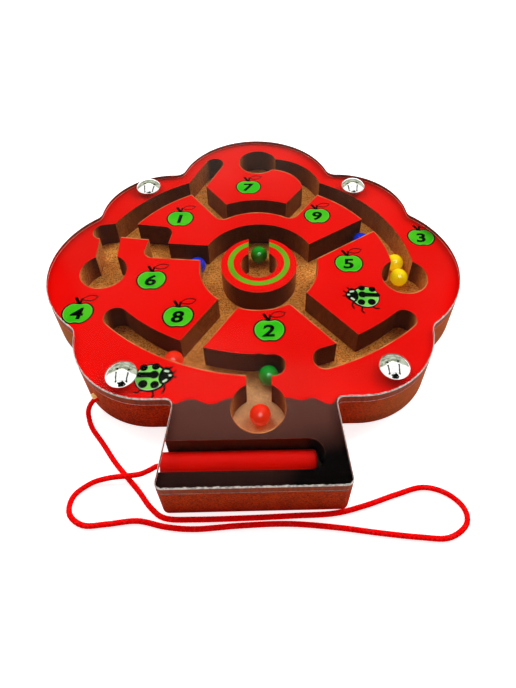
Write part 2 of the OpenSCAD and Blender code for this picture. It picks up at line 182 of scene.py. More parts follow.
def area(loop):
    """Signed area of a loop, positive where it runs counter-clockwise."""
    after = np.roll(loop, -1, 0)
    return 0.5 * float(np.sum(loop[:, 0] * after[:, 1] - loop[:, 1] * after[:, 0]))


def counter_clockwise(loop):
    """The loop, turned round if it runs clockwise."""
    return loop if area(loop) > 0 else loop[::-1]


def inward(loop, by):
    """A counter-clockwise loop, each of whose points is moved to its inside, square to its neighbours."""
    ahead = np.roll(loop, -1, 0) - np.roll(loop, 1, 0)
    ahead = ahead / np.maximum(np.linalg.norm(ahead, axis=1, keepdims=True), 1e-9)
    reach = by if np.isscalar(by) else np.asarray(by)[:, None]
    return loop + reach * np.stack([-ahead[:, 1], ahead[:, 0]], 1)


def band(line, half, step=FINE):
    """A stroke: the line's points moved to both sides by half, joined by half circles round its two ends."""
    line = np.asarray(line, float)
    ahead = unit(np.gradient(line, axis=0))
    side = np.stack([-ahead[:, 1], ahead[:, 0]], 1)
    far = arc(line[-1], half, bearing(side[-1]), bearing(side[-1]) - 180, step)
    near = arc(line[0], half, bearing(-side[0]), bearing(-side[0]) - 180, step)
    loop = np.concatenate([line + half * side, far[1:-1], (line - half * side)[::-1], near[1:-1]])
    return counter_clockwise(loop)


def notch_arc(one, two, radius):
    """The hollow of a radius that touches two lobes from outside: its centre and its two touching points."""
    (c1, r1), (c2, r2) = [(np.asarray(c, float), r) for c, r in (one, two)]
    gap = c2 - c1
    span = np.linalg.norm(gap)
    reach = r1 + radius
    along = (reach**2 - (r2 + radius) ** 2 + span**2) / (2 * span)
    up = math.sqrt(reach**2 - along**2)
    centre = c1 + gap / span * along + up * np.array([-gap[1], gap[0]]) / span
    return centre, c1 + (centre - c1) * r1 / reach, c2 + (centre - c2) * r2 / (r2 + radius)


def corner_arc(corner, one, two, radius):
    """The rounding of a corner that two directions leave: its centre and its two touching points."""
    one, two = one / np.linalg.norm(one), two / np.linalg.norm(two)
    half = math.acos(float(one @ two)) / 2
    middle = (one + two) / np.linalg.norm(one + two)
    reach = radius / math.tan(half)
    return corner + middle * radius / math.sin(half), corner + one * reach, corner + two * reach


def tree_outline():
    """The board's outline: lobes joined by hollows, then the trunk; the right half and its mirror image."""
    parts = []
    start = np.array([0.0, LOBES[0][0][1] + LOBES[0][1]])
    for one, two in zip(LOBES, LOBES[1:]):
        centre, first, last = notch_arc(one, two, NOTCH_R)
        parts += [short_arc(one[0], one[1], start, first), short_arc(centre, NOTCH_R, first, last)]
        start = last
    (x, y), r = LOBES[-1]
    parts.append(short_arc((x, y), r, start, (x, y - r)))
    down = TRUNK_FOOT - TRUNK_TOP
    centre, first, last = corner_arc(TRUNK_TOP, np.array([1.0, 0.0]), down, CORNER_R)
    parts += [straight((x, y - r), first), short_arc(centre, CORNER_R, first, last)]
    foot, above, below = corner_arc(TRUNK_FOOT, -down, np.array([-1.0, 0.0]), CORNER_R)
    parts += [straight(last, above), short_arc(foot, CORNER_R, above, below)]
    parts.append(straight(below, (0, TRUNK_FOOT[1])))
    right = np.concatenate(parts)
    right = right[np.r_[True, np.linalg.norm(np.diff(right, axis=0), axis=1) > 1e-6]]
    left = right[1:-1][::-1] * [-1, 1]
    return counter_clockwise(np.concatenate([right, left]))


def maze_lanes():
    """Closed loops of every channel except the ring's, in board places."""
    arch, right, left = ((-0.7, 8.2), 32.1), ((0.3, -3), 64.6), ((-5.3, -5.4), 67.0)
    crest, low_left, low_right = ((5.6, 53.8), 21.9), ((3.5, 37.8), 91.5), ((-3.2, 44), 99.2)
    arcs = [(arch, 60.2, 121.7), (right, -3, 63), (left, 114.1, 154.4), (crest, 0, 90)]
    arcs += [(low_left, 227.1, 271.2), (low_right, -73.1, -50.3)]
    lane = (0, 0), RING_LANE
    step_in, step_out = (-47.6, 9.5), (-45.8, 20.8)
    runs = [
        (on_arc(*arch, 60.2), (27.5, 53.8)), (on_arc(*arch, 121.7), on_arc(*left, 114.1)),
        ((5.6, 75.7), (-0.5, 77.6)), (on_arc(*left, 114.1), (-23.9, 76.1)),
        (on_arc(*left, 154.4), (-73.4, 22.4)), ((-69.6, 21.7), (-68.5, -3.4)),
        (on_arc(*left, 154.4), step_out), (step_out, step_in), (step_in, (-RING_LANE, 7.3)),
        (on_arc(*lane, 14.2), on_arc(*right, 28.9)), (on_arc(*lane, -51), on_arc(*low_right, -65)),
        (on_arc(*lane, 240.8), on_arc(*low_left, 249)), ((0, -53.2), (-0.2, -71.4)), ((0, 0), (0, RING_LANE)),
    ]
    loops = [band(arc(*shape, a, b), CHANNEL_HALF) for shape, a, b in arcs]
    loops += [band([p, q], CHANNEL_HALF) for p, q in runs]
    loops += [disc(p, POCKET_R) for p in ((-0.5, 77.6), (-68.5, -3.4), (64.4, -8.3), (-0.2, -71.4))]
    loops.append(disc((0, 0), WELL_R))
    loops = [loop + RING for loop in loops]
    loops.append(band([(-40, SLOT_Y), (SLOT_END, SLOT_Y)], SLOT_HALF))
    return loops


def divide(loops):
    """Cuts the plane along closed loops. Gives points, triangles and, per triangle, the loops round it."""
    loops = [counter_clockwise(np.asarray(loop, float)) for loop in loops]
    points = np.concatenate(loops)
    starts = np.cumsum([0] + [len(loop) for loop in loops])
    rings = [list(range(a, b)) for a, b in zip(starts, starts[1:])]
    where, _, faces, _, _, homes = delaunay_2d_cdt([Vector(p) for p in points], [], rings, 1, 1e-5, True)
    points = np.array([tuple(p) for p in where])
    faces = np.array([tuple(f) for f in faces])
    inside = np.zeros((len(faces), len(loops)), bool)
    rows = np.repeat(np.arange(len(faces)), [len(h) for h in homes])
    inside[rows, np.concatenate([np.asarray(h, int) for h in homes])] = True
    corner = points[faces]
    one, two = corner[:, 1] - corner[:, 0], corner[:, 2] - corner[:, 0]
    turn = one[:, 0] * two[:, 1] - one[:, 1] * two[:, 0]
    faces = np.where((turn < 0)[:, None], faces[:, ::-1], faces)
    keep = np.abs(turn) > 1e-9
    return points, faces[keep], inside[keep]


def channel_plan(extra=()):
    """The plan cut by outline, channels and any extra loops; level 2 is the face, 1 a floor and 0 outside."""
    lanes = maze_lanes()
    loops = [tree_outline(), disc(RING, RING_OUT), disc(RING, RING_IN), *lanes, *extra]
    points, faces, inside = divide(loops)
    ring = inside[:, 1] & ~inside[:, 2]
    cut = ring | inside[:, 3 : 3 + len(lanes)].any(axis=1)
    level = np.where(inside[:, 0], np.where(cut, 1, 2), 0)
    return points, faces, inside[:, 3 + len(lanes) :], level


# Mesh helpers


def terrace(points, faces, level, heights):
    """A stepped block: each triangle is raised to its level, and walls join neighbours of unlike levels."""
    faces, level = faces[level > 0], level[level > 0]
    count = len(points)
    sides = np.concatenate([faces[:, [0, 1]], faces[:, [1, 2]], faces[:, [2, 0]]])
    high = np.concatenate([level, level, level])
    key, back = sides[:, 0] * count + sides[:, 1], sides[:, 1] * count + sides[:, 0]
    order = np.argsort(key)
    slot = np.minimum(np.searchsorted(key[order], back), len(key) - 1)
    found = key[order][slot] == back
    low = np.where(found, high[order][slot], 0)
    places = np.concatenate([np.c_[points, np.full(count, z)] for z in heights])
    tris = [faces[:, ::-1], faces + (level * count)[:, None]]
    tags = [np.zeros(len(faces), int), np.where(level == len(heights) - 1, 1, 2)]
    quads, walls = [], []
    for step in range(len(heights) - 1):
        a, b = sides[(low <= step) & (high > step)].T
        under, over = step * count, (step + 1) * count
        quads.append(np.stack([a + under, b + under, b + over, a + over], 1))
        walls.append(np.where(low[(low <= step) & (high > step)] == 0, 3, 4))
    shapes = np.concatenate(tris).tolist() + np.concatenate(quads).tolist()
    return places, shapes, np.concatenate(tags + walls)


def strip_faces(rows, columns):
    """Quads of a grid of rows and columns, whose last column meets its first."""
    r, c = np.meshgrid(np.arange(rows - 1), np.arange(columns), indexing="ij")
    a, b = r * columns + c, r * columns + (c + 1) % columns
    return np.stack([a, b, b + columns, a + columns], -1).reshape(-1, 4)


def fan(ring, tip, flip):
    """Triangles that close a ring of points with one point, turned over if flip is set."""
    pair = [ring, np.roll(ring, -1)]
    return np.stack([*(pair[::-1] if flip else pair), np.full(len(ring), tip)], 1).tolist()


def plate(loop, holes, profile, chips):
    """A flat plate: its edge follows a profile of (inset, height), its faces are cut by round holes.

    The top row is chipped along the front: sines of many rates change its inset by about chips. Tags are 0
    for the middle of the edge, 1 for its first and last strip, and 2 for the flat faces and the holes."""
    count = len(loop)
    turn = np.linspace(0, 2 * math.pi, count, endpoint=False)
    waves = ((131, 0.5, 0), (211, 0.8, 1), (307, 0.6, 2), (463, 0.5, 3), (89, 0.5, 5))
    ripple = sum(share * np.sin(turn * rate + 3 * np.sin(turn * 7 + late)) for rate, share, late in waves)
    front = np.clip(inward(loop, 1.0)[:, 1] - loop[:, 1], 0, 1)
    deep = (1 + 0.35 * ripple) * chips * front
    rows = [np.c_[inward(loop, inset + deep * (row == len(profile) - 1)), np.full(count, z)]
            for row, (inset, z) in enumerate(profile)]
    places, shapes = [np.concatenate(rows)], strip_faces(len(rows), count).tolist()
    total = len(places[0])
    tags = np.repeat([1, *[0] * (len(rows) - 3), 1], count)
    for row, z, flip in ((rows[0][:, :2], profile[0][1], True), (rows[-1][:, :2], profile[-1][1], False)):
        points, faces, inside = divide([row, *holes])
        faces = faces[inside[:, 0] & ~inside[:, 1:].any(axis=1)]
        places.append(np.c_[points, np.full(len(points), z)])
        shapes += ((faces[:, ::-1] if flip else faces) + total).tolist()
        total += len(points)
    for hole in holes:
        walls = [np.c_[hole, np.full(len(hole), z)] for z in (profile[0][1], profile[-1][1])]
        places.append(np.concatenate(walls))
        shapes += (strip_faces(2, len(hole))[:, ::-1] + total).tolist()
        total += 2 * len(hole)
    return np.concatenate(places), shapes, np.r_[tags, np.full(len(shapes) - len(tags), 2)]


def lathe(profile, sides, lobing=None):
    """Turns a profile of (radius, height) about Z; a radius of 0 closes that end with one point.

    Lobing gives how much wider the shape is at a height and an angle."""
    profile = np.asarray(profile, float)
    angle = np.linspace(0, 2 * math.pi, sides, endpoint=False)
    first, last = (bool(radius < 1e-9) for radius in profile[[0, -1], 0])
    body = profile[first : len(profile) - last]
    grow = lobing(body[:, 1:], angle) if lobing else 1.0
    x, y = (body[:, :1] * wave(angle) * grow for wave in (np.cos, np.sin))
    z = np.repeat(body[:, 1:], sides, axis=1)
    places = np.stack([x, y, z], -1).reshape(-1, 3)
    shapes = strip_faces(len(body), sides).tolist()
    for closed, row, height in ((first, 0, profile[0, 1]), (last, len(body) - 1, profile[-1, 1])):
        if closed:
            shapes += fan(row * sides + np.arange(sides), len(places), row == 0)
            places = np.r_[places, [[0, 0, height]]]
    return places, shapes


def ball_profile(radius):
    """Half a circle from pole to pole."""
    angle = np.linspace(-math.pi / 2, math.pi / 2, 49)
    profile = np.stack([radius * np.cos(angle), radius * np.sin(angle)], 1)
    profile[[0, -1], 0] = 0
    return profile


def smooth_line(points, fine):
    """A smooth curve through points, each span cut into equal parts, by the usual four-point rule."""
    points = np.asarray(points, float)
    padded = np.concatenate([[2 * points[0] - points[1]], points, [2 * points[-1] - points[-2]]])
    t = np.linspace(0, 1, fine, endpoint=False)[:, None, None]
    a, b, c, d = (padded[i : len(points) - 1 + i][None] for i in range(4))
    curve = 0.5 * (2 * b + (c - a) * t + (2 * a - 5 * b + 4 * c - d) * t**2 + (3 * b - a - 3 * c + d) * t**3)
    return np.concatenate([curve.transpose(1, 0, 2).reshape(-1, points.shape[1]), points[-1:]])


def even_line(points, spacing):
    """The same curve with points an equal length apart, and how far along it each of them lies."""
    reach = np.r_[0, np.cumsum(np.linalg.norm(np.diff(points, axis=0), axis=1))]
    marks = np.linspace(0, reach[-1], int(reach[-1] / spacing) + 1)
    return np.stack([np.interp(marks, reach, points[:, k]) for k in range(points.shape[1])], 1), marks


def sweep(line, radius, sides):
    """A tube: rings square to the line, whose radius is a table of (ring, side), with closed ends."""
    ahead = unit(np.gradient(line, axis=0))
    across = unit(np.cross([0, 0, 1], ahead))
    above = np.cross(ahead, across)
    angle = np.linspace(0, 2 * math.pi, sides, endpoint=False)[None, :, None]
    spokes = np.cos(angle) * across[:, None] + np.sin(angle) * above[:, None]
    places = line[:, None] + radius[..., None] * spokes
    ring, count = np.arange(sides), len(line) * sides
    shapes = strip_faces(len(line), sides).tolist()
    shapes += fan(ring, count, True) + fan(ring + count - sides, count + 1, False)
    return np.concatenate([places.reshape(-1, 3), line[:1], line[-1:]]), shapes


def make_piece(name, places, shapes, finishes, body=None, which=None, crease=CREASE):
    """Puts places, in millimetres, and faces into a mesh that rides on a body, with its finishes by face."""
    mesh = bpy.data.meshes.new(name)
    mesh.from_pydata((np.asarray(places) * MM).tolist(), [], shapes)
    if which is not None:
        mesh.polygons.foreach_set("material_index", np.asarray(which, np.int32))
    mesh.polygons.foreach_set("use_smooth", np.ones(len(mesh.polygons), bool))
    mesh.set_sharp_from_angle(angle=math.radians(crease))
    mesh.update()
    for finish in finishes:
        mesh.materials.append(finish)
    piece = bpy.data.objects.new(name, mesh)
    bpy.context.collection.objects.link(piece)
    if body:
        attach(piece, body)
    return piece


def drop_loose(piece):
    """Removes points that no face uses and merges points that share a place."""
    soft = bmesh.new()
    soft.from_mesh(piece.data)
    bmesh.ops.delete(soft, geom=[v for v in soft.verts if not v.link_faces], context="VERTS")
    bmesh.ops.remove_doubles(soft, verts=soft.verts, dist=1e-7)
    soft.to_mesh(piece.data)
    soft.free()
    piece.data.set_sharp_from_angle(angle=math.radians(CREASE))


# Shader helpers


class Value:
    """A shader socket whose operators add the matching Math nodes."""

    def __init__(self, recipe, socket):
        self.recipe, self.socket = recipe, socket

    def math(self, operation, *others):
        return self.recipe.add("ShaderNodeMath", {"operation": operation}, [self, *others])

    def __add__(self, other):
        return self.math("ADD", other)

    def __mul__(self, other):
        return self.math("MULTIPLY", other)

    def __sub__(self, other):
        return self.math("SUBTRACT", other)

    def __rsub__(self, other):
        return self.recipe.add("ShaderNodeMath", {"operation": "SUBTRACT"}, [other, self])

    def __gt__(self, other):
        return self.math("GREATER_THAN", other)

    def __pow__(self, power):
        return self.math("POWER", power)

    def __abs__(self):
        return self.math("ABSOLUTE")

    __radd__ = __add__
    __rmul__ = __mul__

    def most(self, other):
        """The greater of two values."""
        return self.math("MAXIMUM", other)

    def above(self, low, high):
        """0 below low, 1 above high, and a smooth step between them."""
        inputs = {"Value": self, "From Min": low, "From Max": high}
        return self.recipe.add("ShaderNodeMapRange", {"interpolation_type": "SMOOTHSTEP"}, inputs)

    def near(self, place, reach):
        """1 up to half a reach from a place, falling to 0 a whole reach from it."""
        return 1 - abs(self - place).above(reach * 0.5, reach)


class Recipe:
    """The node tree of a new material, or of a world that is given."""

    def __init__(self, name, world=None):
        self.holder = world or bpy.data.materials.new(name)
        self.holder.use_nodes = True
        self.tree = self.holder.node_tree
        self.tree.nodes.clear()
        self.out = self.tree.nodes.new("ShaderNodeOutputWorld" if world else "ShaderNodeOutputMaterial")

    def add(self, kind, settings=None, inputs=(), output=0):
        """Adds a node: its settings first, then the values or links of its sockets."""
        node = self.tree.nodes.new(kind)
        for key, value in (settings or {}).items():
            if key == "stops":
                ramp = node.color_ramp.elements
                while len(ramp) < len(value):
                    ramp.new(0.5)
                for stop, (place, tone) in zip(ramp, value):
                    stop.position, stop.color = place, (*tone, 1)
            else:
                setattr(node, key, value)
        for key, value in inputs.items() if isinstance(inputs, dict) else enumerate(inputs):
            socket = node.inputs[key]
            if isinstance(value, Value):
                self.tree.links.new(value.socket, socket)
            else:
                socket.default_value = (*value, 1) if socket.type == "RGBA" else value
        return Value(self, node.outputs[output])

    def coordinates(self, kind):
        """One of the outputs of Texture Coordinate, by its name."""
        return self.add("ShaderNodeTexCoord", output=kind)

    def parts(self, vector):
        """The three numbers of a vector."""
        node = self.add("ShaderNodeSeparateXYZ", None, [vector]).socket.node
        return [Value(self, socket) for socket in node.outputs]

    def rays(self, *names):
        """What is known of the ray that meets the surface, by the names of Light Path's outputs."""
        node = self.add("ShaderNodeLightPath").socket.node
        return [Value(self, node.outputs[name]) for name in names]

    def axes(self):
        """X, Y and Z of the place on the object, in millimetres."""
        return [part * 1000 for part in self.parts(self.coordinates("Object"))]

    def facing_back(self):
        """How far the surface faces along Y: -1 towards the toy's foot, and 1 towards its crown."""
        return self.parts(self.coordinates("Normal"))[1]

    def spot(self, size, stretch=(1, 1, 1)):
        """The place on the object counted in sizes of so many millimetres, stretched along the axes."""
        scale = tuple(1000 / size / s for s in stretch)
        return self.add("ShaderNodeMapping", None, {"Vector": self.coordinates("Object"), "Scale": scale})

    def noise(self, size, detail, rough=0.5, stretch=(1, 1, 1)):
        """Soft noise whose features are about size millimetres wide, stretched along the axes."""
        inputs = {"Vector": self.spot(size, stretch), "Scale": 1.0, "Detail": detail, "Roughness": rough}
        return self.add("ShaderNodeTexNoise", None, inputs)

    def grains(self, size):
        """Distance to the nearest of scattered points about size millimetres apart."""
        return self.add("ShaderNodeTexVoronoi", None, {"Vector": self.spot(size), "Scale": 1.0})

    def mix(self, factor, one, two):
        """Colours one and two mixed by a factor."""
        return self.add("ShaderNodeMix", {"data_type": "RGBA"}, {0: factor, 6: one, 7: two}, 2)

    def bump(self, height, strength, depth):
        """A normal from a height, whose whole range is depth millimetres."""
        inputs = {"Height": height, "Strength": strength, "Distance": depth * MM}
        return self.add("ShaderNodeBump", None, inputs)

    def surface(self, **inputs):
        """The main shader, with underscores for the spaces in its sockets' names."""
        named = {key.replace("_", " "): value for key, value in inputs.items()}
        return self.add("ShaderNodeBsdfPrincipled", None, named)

    def finish(self, shader):
        """Ends the tree in a shader and gives the material or world."""
        self.tree.links.new(shader.socket, self.out.inputs[0])
        return self.holder


def colour(hexes):
    """Linear colour from a hexadecimal one."""
    parts = [int(hexes[i : i + 2], 16) / 255 for i in (0, 2, 4)]
    return tuple(c / 12.92 if c <= 0.04045 else ((c + 0.055) / 1.055) ** 2.4 for c in parts)


def scaled(tone, by, plus=0.0):
    """A colour made darker or lighter by a factor, and paler by a share of white."""
    return tuple(min(1.0, c * by + plus) for c in tone)


# Finishes


def fibreboard(name, light, dark, chips, scorch_and_shade=None, low=0.0, high=BOARD_TOP, front=0.0, stains_and_painted_light=()):
    """Pressed wood fibre: fine light and dark fibres over soft patches, with scattered dark chips.

    The scorch_and_shade tone darkens cut sides: in clouds and streaks, darker towards the bottom from low up
    to high, and as painted shade on what faces the toy's foot, by front. A stain is a tone with how strong it
    is at a place; some of them are painted light."""
    r = Recipe(name)
    fibres = r.noise(0.8, 4, 0.7)
    middle = tuple(0.4 * a + 0.6 * b for a, b in zip(light, dark))
    stops = [(0.41, dark), (0.48, middle), (0.56, light)]
    base = r.add("ShaderNodeValToRGB", {"stops": stops}, [fibres * 0.8 + r.noise(4.5, 2) * 0.2])
    specks = 1 - r.grains(1.1).above(0.14, 0.3)
    picked = r.noise(2.6, 1).above(0.44, 0.56)
    base = r.mix(specks * picked * chips, base, scaled(dark, 0.15))
    pale = r.noise(0.45, 2).above(0.58, 0.7)
    base = r.mix(pale * chips * 0.7, base, scaled(light, 1.6, 0.06))
    x, y, z = r.axes()
    if scorch_and_shade:
        clouds = r.noise(14, 2, 0.5, (1, 1, 3)).above(0.35, 0.7)
        lines = r.noise(2.0, 3, 0.6, (1, 1, 5)).above(0.4, 0.65)
        # darker towards the bottom: the clouds and streaks fade out from low up to high
        base = r.mix((lines * 0.2 + clouds * 0.25) * (1 - z.above(low, high)), base, scorch_and_shade)
        # painted shade: what faces the toy's foot takes the darker tone, by front
        base = r.mix((1 - r.facing_back().above(-0.95, 0.1)) * front, base, scorch_and_shade)
    # a stain may be painted light, as on the board's side and the channel floor
    for strength, tone in stains_and_painted_light:
        base = r.mix(strength(x, y), base, tone)
    normal = r.bump(fibres + r.noise(0.25, 2, 0.6) * 0.6, 0.7, 0.12)
    return r.finish(r.surface(Base_Color=base, Roughness=0.85, Normal=normal, Specular_IOR_Level=0.1))


def printed(r, base):
    """Ends the recipe of a print in matt ink that isn't quite even."""
    normal = r.bump(r.noise(0.8, 3, 0.6), 0.25, 0.02)
    return r.finish(r.surface(Base_Color=base, Roughness=0.55, Normal=normal, Specular_IOR_Level=0.04))


def ink(name, main, second=None, low=0.0, high=1.0, patch=1.0):
    """Printed ink: an even colour with faint screen grain, and a second tone in clouds as wide as patch."""
    r = Recipe(name)
    base = r.mix(r.noise(patch, 2).above(low, high), main, second) if second else main
    return printed(r, r.mix(r.noise(0.35, 2).above(0.35, 0.75) * 0.12, base, scaled(main, 0.7)))


def trunk_ink(top, foot):
    """The trunk's print: dark brown, black towards the foot and the right, with faint bark lines."""
    r = Recipe("trunk print")
    x, y, _ = r.axes()
    fade = (1 - y.above(-97, -72)) * 0.85 + x.above(4, 30) * (1 - y.above(-86, -70)) * 0.5
    bark = r.noise(5.0, 3, 0.6, (0.5, 3.0, 1)).above(0.4, 0.7)
    base = r.mix(fade, r.mix(bark * 0.25, top, scaled(top, 0.6)), foot)
    dust = 1 - r.grains(9.0).above(0.02, 0.035)
    return printed(r, r.mix(dust * 0.7, base, (0.7, 0.7, 0.65)))


def clear_acrylic(tint):
    """Cast acrylic: clear, with hairline scratches. Light and shadow pass it unbent."""
    r = Recipe("clear acrylic")
    across = r.noise(9.0, 1, 0.5, (0.03, 1.4, 1)).above(0.735, 0.74)
    scratch = across + r.noise(7.0, 1, 0.5, (1.6, 0.03, 1)).above(0.75, 0.755)
    normal = r.bump(scratch * -0.2, 0.3, 0.02)
    glass = r.surface(Base_Color=tint, Roughness=scratch * 0.12, IOR=1.49, Transmission_Weight=1.0,
                      Specular_Tint=(0.02, 0.02, 0.02), Normal=normal)
    shadow, diffuse = r.rays("Is Shadow Ray", "Is Diffuse Ray")
    clear = r.add("ShaderNodeBsdfTransparent", None, {"Color": (0.97, 0.97, 0.97)})
    return r.finish(r.add("ShaderNodeMixShader", None, [shadow.most(diffuse), glass, clear]))


def sawn_acrylic(tone, behind):
    """The acrylic's sawn side with upright saw marks, coloured by painted reflection: one tone at the front,
    for what shows through it, and another behind, for the red print that it mirrors.
    """
    r = Recipe("sawn acrylic")
    saw = r.noise(1.2, 3, 0.6, (1, 1, 8))
    # painted reflection: the front tone where the side faces the foot, the behind tone elsewhere
    base = r.mix(r.facing_back().above(-0.6, -0.1), tone, behind)
    base = r.mix(saw.above(0.35, 0.65) * 0.6, base, scaled(tone, 0.4))
    normal = r.bump(saw, 0.5, 0.1)
    return r.finish(r.surface(Base_Color=base, Roughness=0.6, Specular_IOR_Level=0.1, Normal=normal))


def frosted_edge(tone):
    """The broken edges of the acrylic: ground pale, partly their own frosting and partly a painted highlight,
    with clearer chips.
    """
    r = Recipe("frosted edge")
    # the pale tone is partly painted highlight of the light the edges catch
    base = r.mix(r.noise(1.1, 3, 0.6).above(0.42, 0.62), tone, scaled(tone, 0.55))
    normal = r.bump(r.noise(0.5, 3, 0.6), 0.6, 0.1)
    return r.finish(r.surface(Base_Color=base, Roughness=0.5, Normal=normal))


def polished_metal(name, tone, rough, wear):
    """Plated metal: nearly a mirror, with soft smudges and a faint unevenness."""
    r = Recipe(name)
    smudge = r.noise(3.0, 3, 0.6)
    base = r.mix(smudge.above(0.5, 0.75) * wear, tone, scaled(tone, 0.75))
    roughness = smudge.above(0.4, 0.8) * wear * 0.3 + rough
    normal = r.bump(r.noise(2.2, 1), 0.25, 0.08)
    return r.finish(r.surface(Base_Color=base, Metallic=1.0, Roughness=roughness, Normal=normal))


def ball_paint(name, tone, glow):
    """Glossy enamel on a small ball: a clear coat over a slightly uneven colour, with a painted glow that
    brightens it.
    """
    r = Recipe(name)
    base = r.mix(r.noise(3.0, 2).above(0.35, 0.75) * 0.25, tone, scaled(tone, 0.75))
    roughness = r.noise(0.7, 2).above(0.4, 0.8) * 0.12 + 0.15
    normal = r.bump(r.noise(1.3, 2), 0.2, 0.03)
    # painted light: the emission makes the ball glow though it is no lamp
    return r.finish(r.surface(Base_Color=base, Roughness=roughness, Coat_Weight=0.5, Coat_Roughness=0.08,
                              Emission_Color=tone, Emission_Strength=glow, Normal=normal))


def wand_plastic(name, tone):
    """Extruded red plastic: fine lines along the wand, with paler rubbed patches."""
    r = Recipe(name)
    lines = r.noise(0.5, 2, 0.5, (40, 1, 1))
    base = r.mix(lines.above(0.4, 0.7) * 0.3, tone, scaled(tone, 0.7))
    rub = r.noise(2.5, 3, 0.6).above(0.55, 0.75)
    base = r.mix(rub * 0.05, base, scaled(tone, 1, 0.1))
    normal = r.bump(lines, 0.3, 0.03)
    rough = lines * 0.2 + 0.4
    return r.finish(r.surface(Base_Color=base, Roughness=rough, Normal=normal, Specular_IOR_Level=0.12))


def braided_cord(tone, shade):
    """Braided yarn: two families of slanting strands from the cord's own map, fine fibres along them.

    Painted shade darkens the grooves between the strands, and a painted glow brightens the whole cord.
    """
    r = Recipe("braided cord")
    turns, along, _ = r.parts(r.coordinates("UV"))
    one = ((turns * STRANDS + along) * (2 * math.pi)).math("COSINE")
    two = ((turns * STRANDS - along) * (2 * math.pi)).math("COSINE")
    top = one.most(two) * 0.5 + 0.5
    fibre = r.noise(0.12, 3, 0.6)
    lint = r.noise(1.1, 2, 0.6).above(0.45, 0.75)
    # painted shade: the grooves between the strands take the shade tone
    base = r.mix(top.above(0.35, 0.95), shade, tone)
    base = r.mix(fibre.above(0.4, 0.7) * 0.25, base, scaled(tone, 0.6))
    base = r.mix(lint * 0.06, base, scaled(tone, 1, 0.2))
    normal = r.bump(top + fibre * 0.5, 0.8, 0.15)
    # painted glow: emission brightens the cord
    return r.finish(r.surface(Base_Color=base, Roughness=0.9, Normal=normal, Specular_IOR_Level=0.05,
                              Emission_Color=base, Emission_Strength=0.25))


def pale_wood(light, dark):
    """Bare pale wood: growth lines along the peg and open fibres, with a painted glow that brightens it."""
    r = Recipe("pale wood")
    lines = r.noise(0.5, 3, 0.6, (6, 6, 1))
    base = r.mix(lines.above(0.35, 0.7), light, dark)
    normal = r.bump(lines + r.noise(0.2, 2) * 0.5, 0.6, 0.08)
    # painted glow: emission brightens the peg
    return r.finish(r.surface(Base_Color=base, Roughness=0.75, Normal=normal, Emission_Color=base,
                              Emission_Strength=0.35))


# Printed figures, in millimetres round their own middle


def apple_figure(number):
    """Loops of a printed apple, each with its ink: leaf, stems, body and figure.

    The body is a circle drawn wider at the top, with a dip at the top and a smaller one below. The leaf lies
    between two curves of one control point each."""
    t = np.linspace(-math.pi, math.pi, 72, endpoint=False)
    x = 6.25 * np.sin(t) * (1 + 0.07 * np.cos(t))
    dip, lower_dip = np.exp(-((t / 0.3) ** 2)), np.exp(-(((math.pi - np.abs(t)) / 0.3) ** 2))
    y = 5.85 * np.cos(t) - dip + 0.75 * lower_dip
    body = counter_clockwise(np.stack([x, y], 1))
    s = np.linspace(0, 1, 20)[:, None]
    tip, base = np.array([6.9, 9.0]), np.array([0.3, 7.0])
    upper = (1 - s) ** 2 * base + 2 * s * (1 - s) * np.array([2.2, 11.2]) + s**2 * tip
    lower = (1 - s) ** 2 * tip + 2 * s * (1 - s) * np.array([5.4, 4.9]) + s**2 * base
    leaf = counter_clockwise(np.concatenate([upper[:-1], lower[:-1]]))
    middle = leaf.mean(axis=0)
    figures = [(leaf, "black"), (middle + (leaf - middle) * [0.85, 0.7], "red")]
    figures += [(band([(-0.3, 4.9), (-2.1, 8.0)], 0.65), "black")]
    figures += [(band([(0.0, 4.9), (0.4, 7.6)], 0.5), "black")]
    figures += [(inward(body, -0.35), "black"), (inward(body, 0.3), "leaf"), (inward(body, 0.55), "green")]
    return figures + digit_loops(number)


def digit_loops(number):
    """A bold figure about 5.8 high: the outlines of Blender's own lettering, holes after what they cut.

    An outline is a chain of the edges that only one of the letter's triangles has."""
    lettering = bpy.data.curves.new("figure", "FONT")
    lettering.body = str(number)
    lettering.size = 7.6
    lettering.offset = 0.26
    lettering.resolution_u = 3
    holder = bpy.data.objects.new("figure", lettering)
    bpy.context.collection.objects.link(holder)
    bpy.context.view_layer.update()
    mesh = bpy.data.meshes.new_from_object(holder.evaluated_get(bpy.context.evaluated_depsgraph_get()))
    mesh.calc_loop_triangles()
    points = np.array([v.co[:2] for v in mesh.vertices])
    faces = np.array([t.vertices[:] for t in mesh.loop_triangles])
    bpy.data.objects.remove(holder)
    bpy.data.meshes.remove(mesh)
    bpy.data.curves.remove(lettering)
    stretch, shift, slant = [1.32, 1.06], [-0.1, -0.2], [0.12, 0]
    points = (points - (points.max(axis=0) + points.min(axis=0)) / 2) * stretch
    points = points + shift + points[:, 1:] * slant
    sides = {(a, b) for f in faces.tolist() for a, b in zip(f, f[1:] + f[:1])}
    after = {a: b for a, b in sides if (b, a) not in sides}
    loops = []
    while after:
        first, chain = next(iter(after)), []
        while first in after:
            chain.append(first)
            first = after.pop(first)
        loops.append(points[chain])
    sign = np.sign(area(max(loops, key=lambda loop: abs(area(loop)))))
    outer = [(loop, "black") for loop in loops if area(loop) * sign > 0.02]
    return outer + [(loop, "green") for loop in loops if area(loop) * sign < -0.02]


def egg(x, y, wide, high, lean):
    """An oval round (x, y) with its two half widths, the second of which grows by lean towards the right."""
    t = np.linspace(0, 2 * math.pi, 64, endpoint=False)
    return np.stack([x + wide * np.cos(t), y + (high + lean * np.cos(t)) * np.sin(t)], 1)


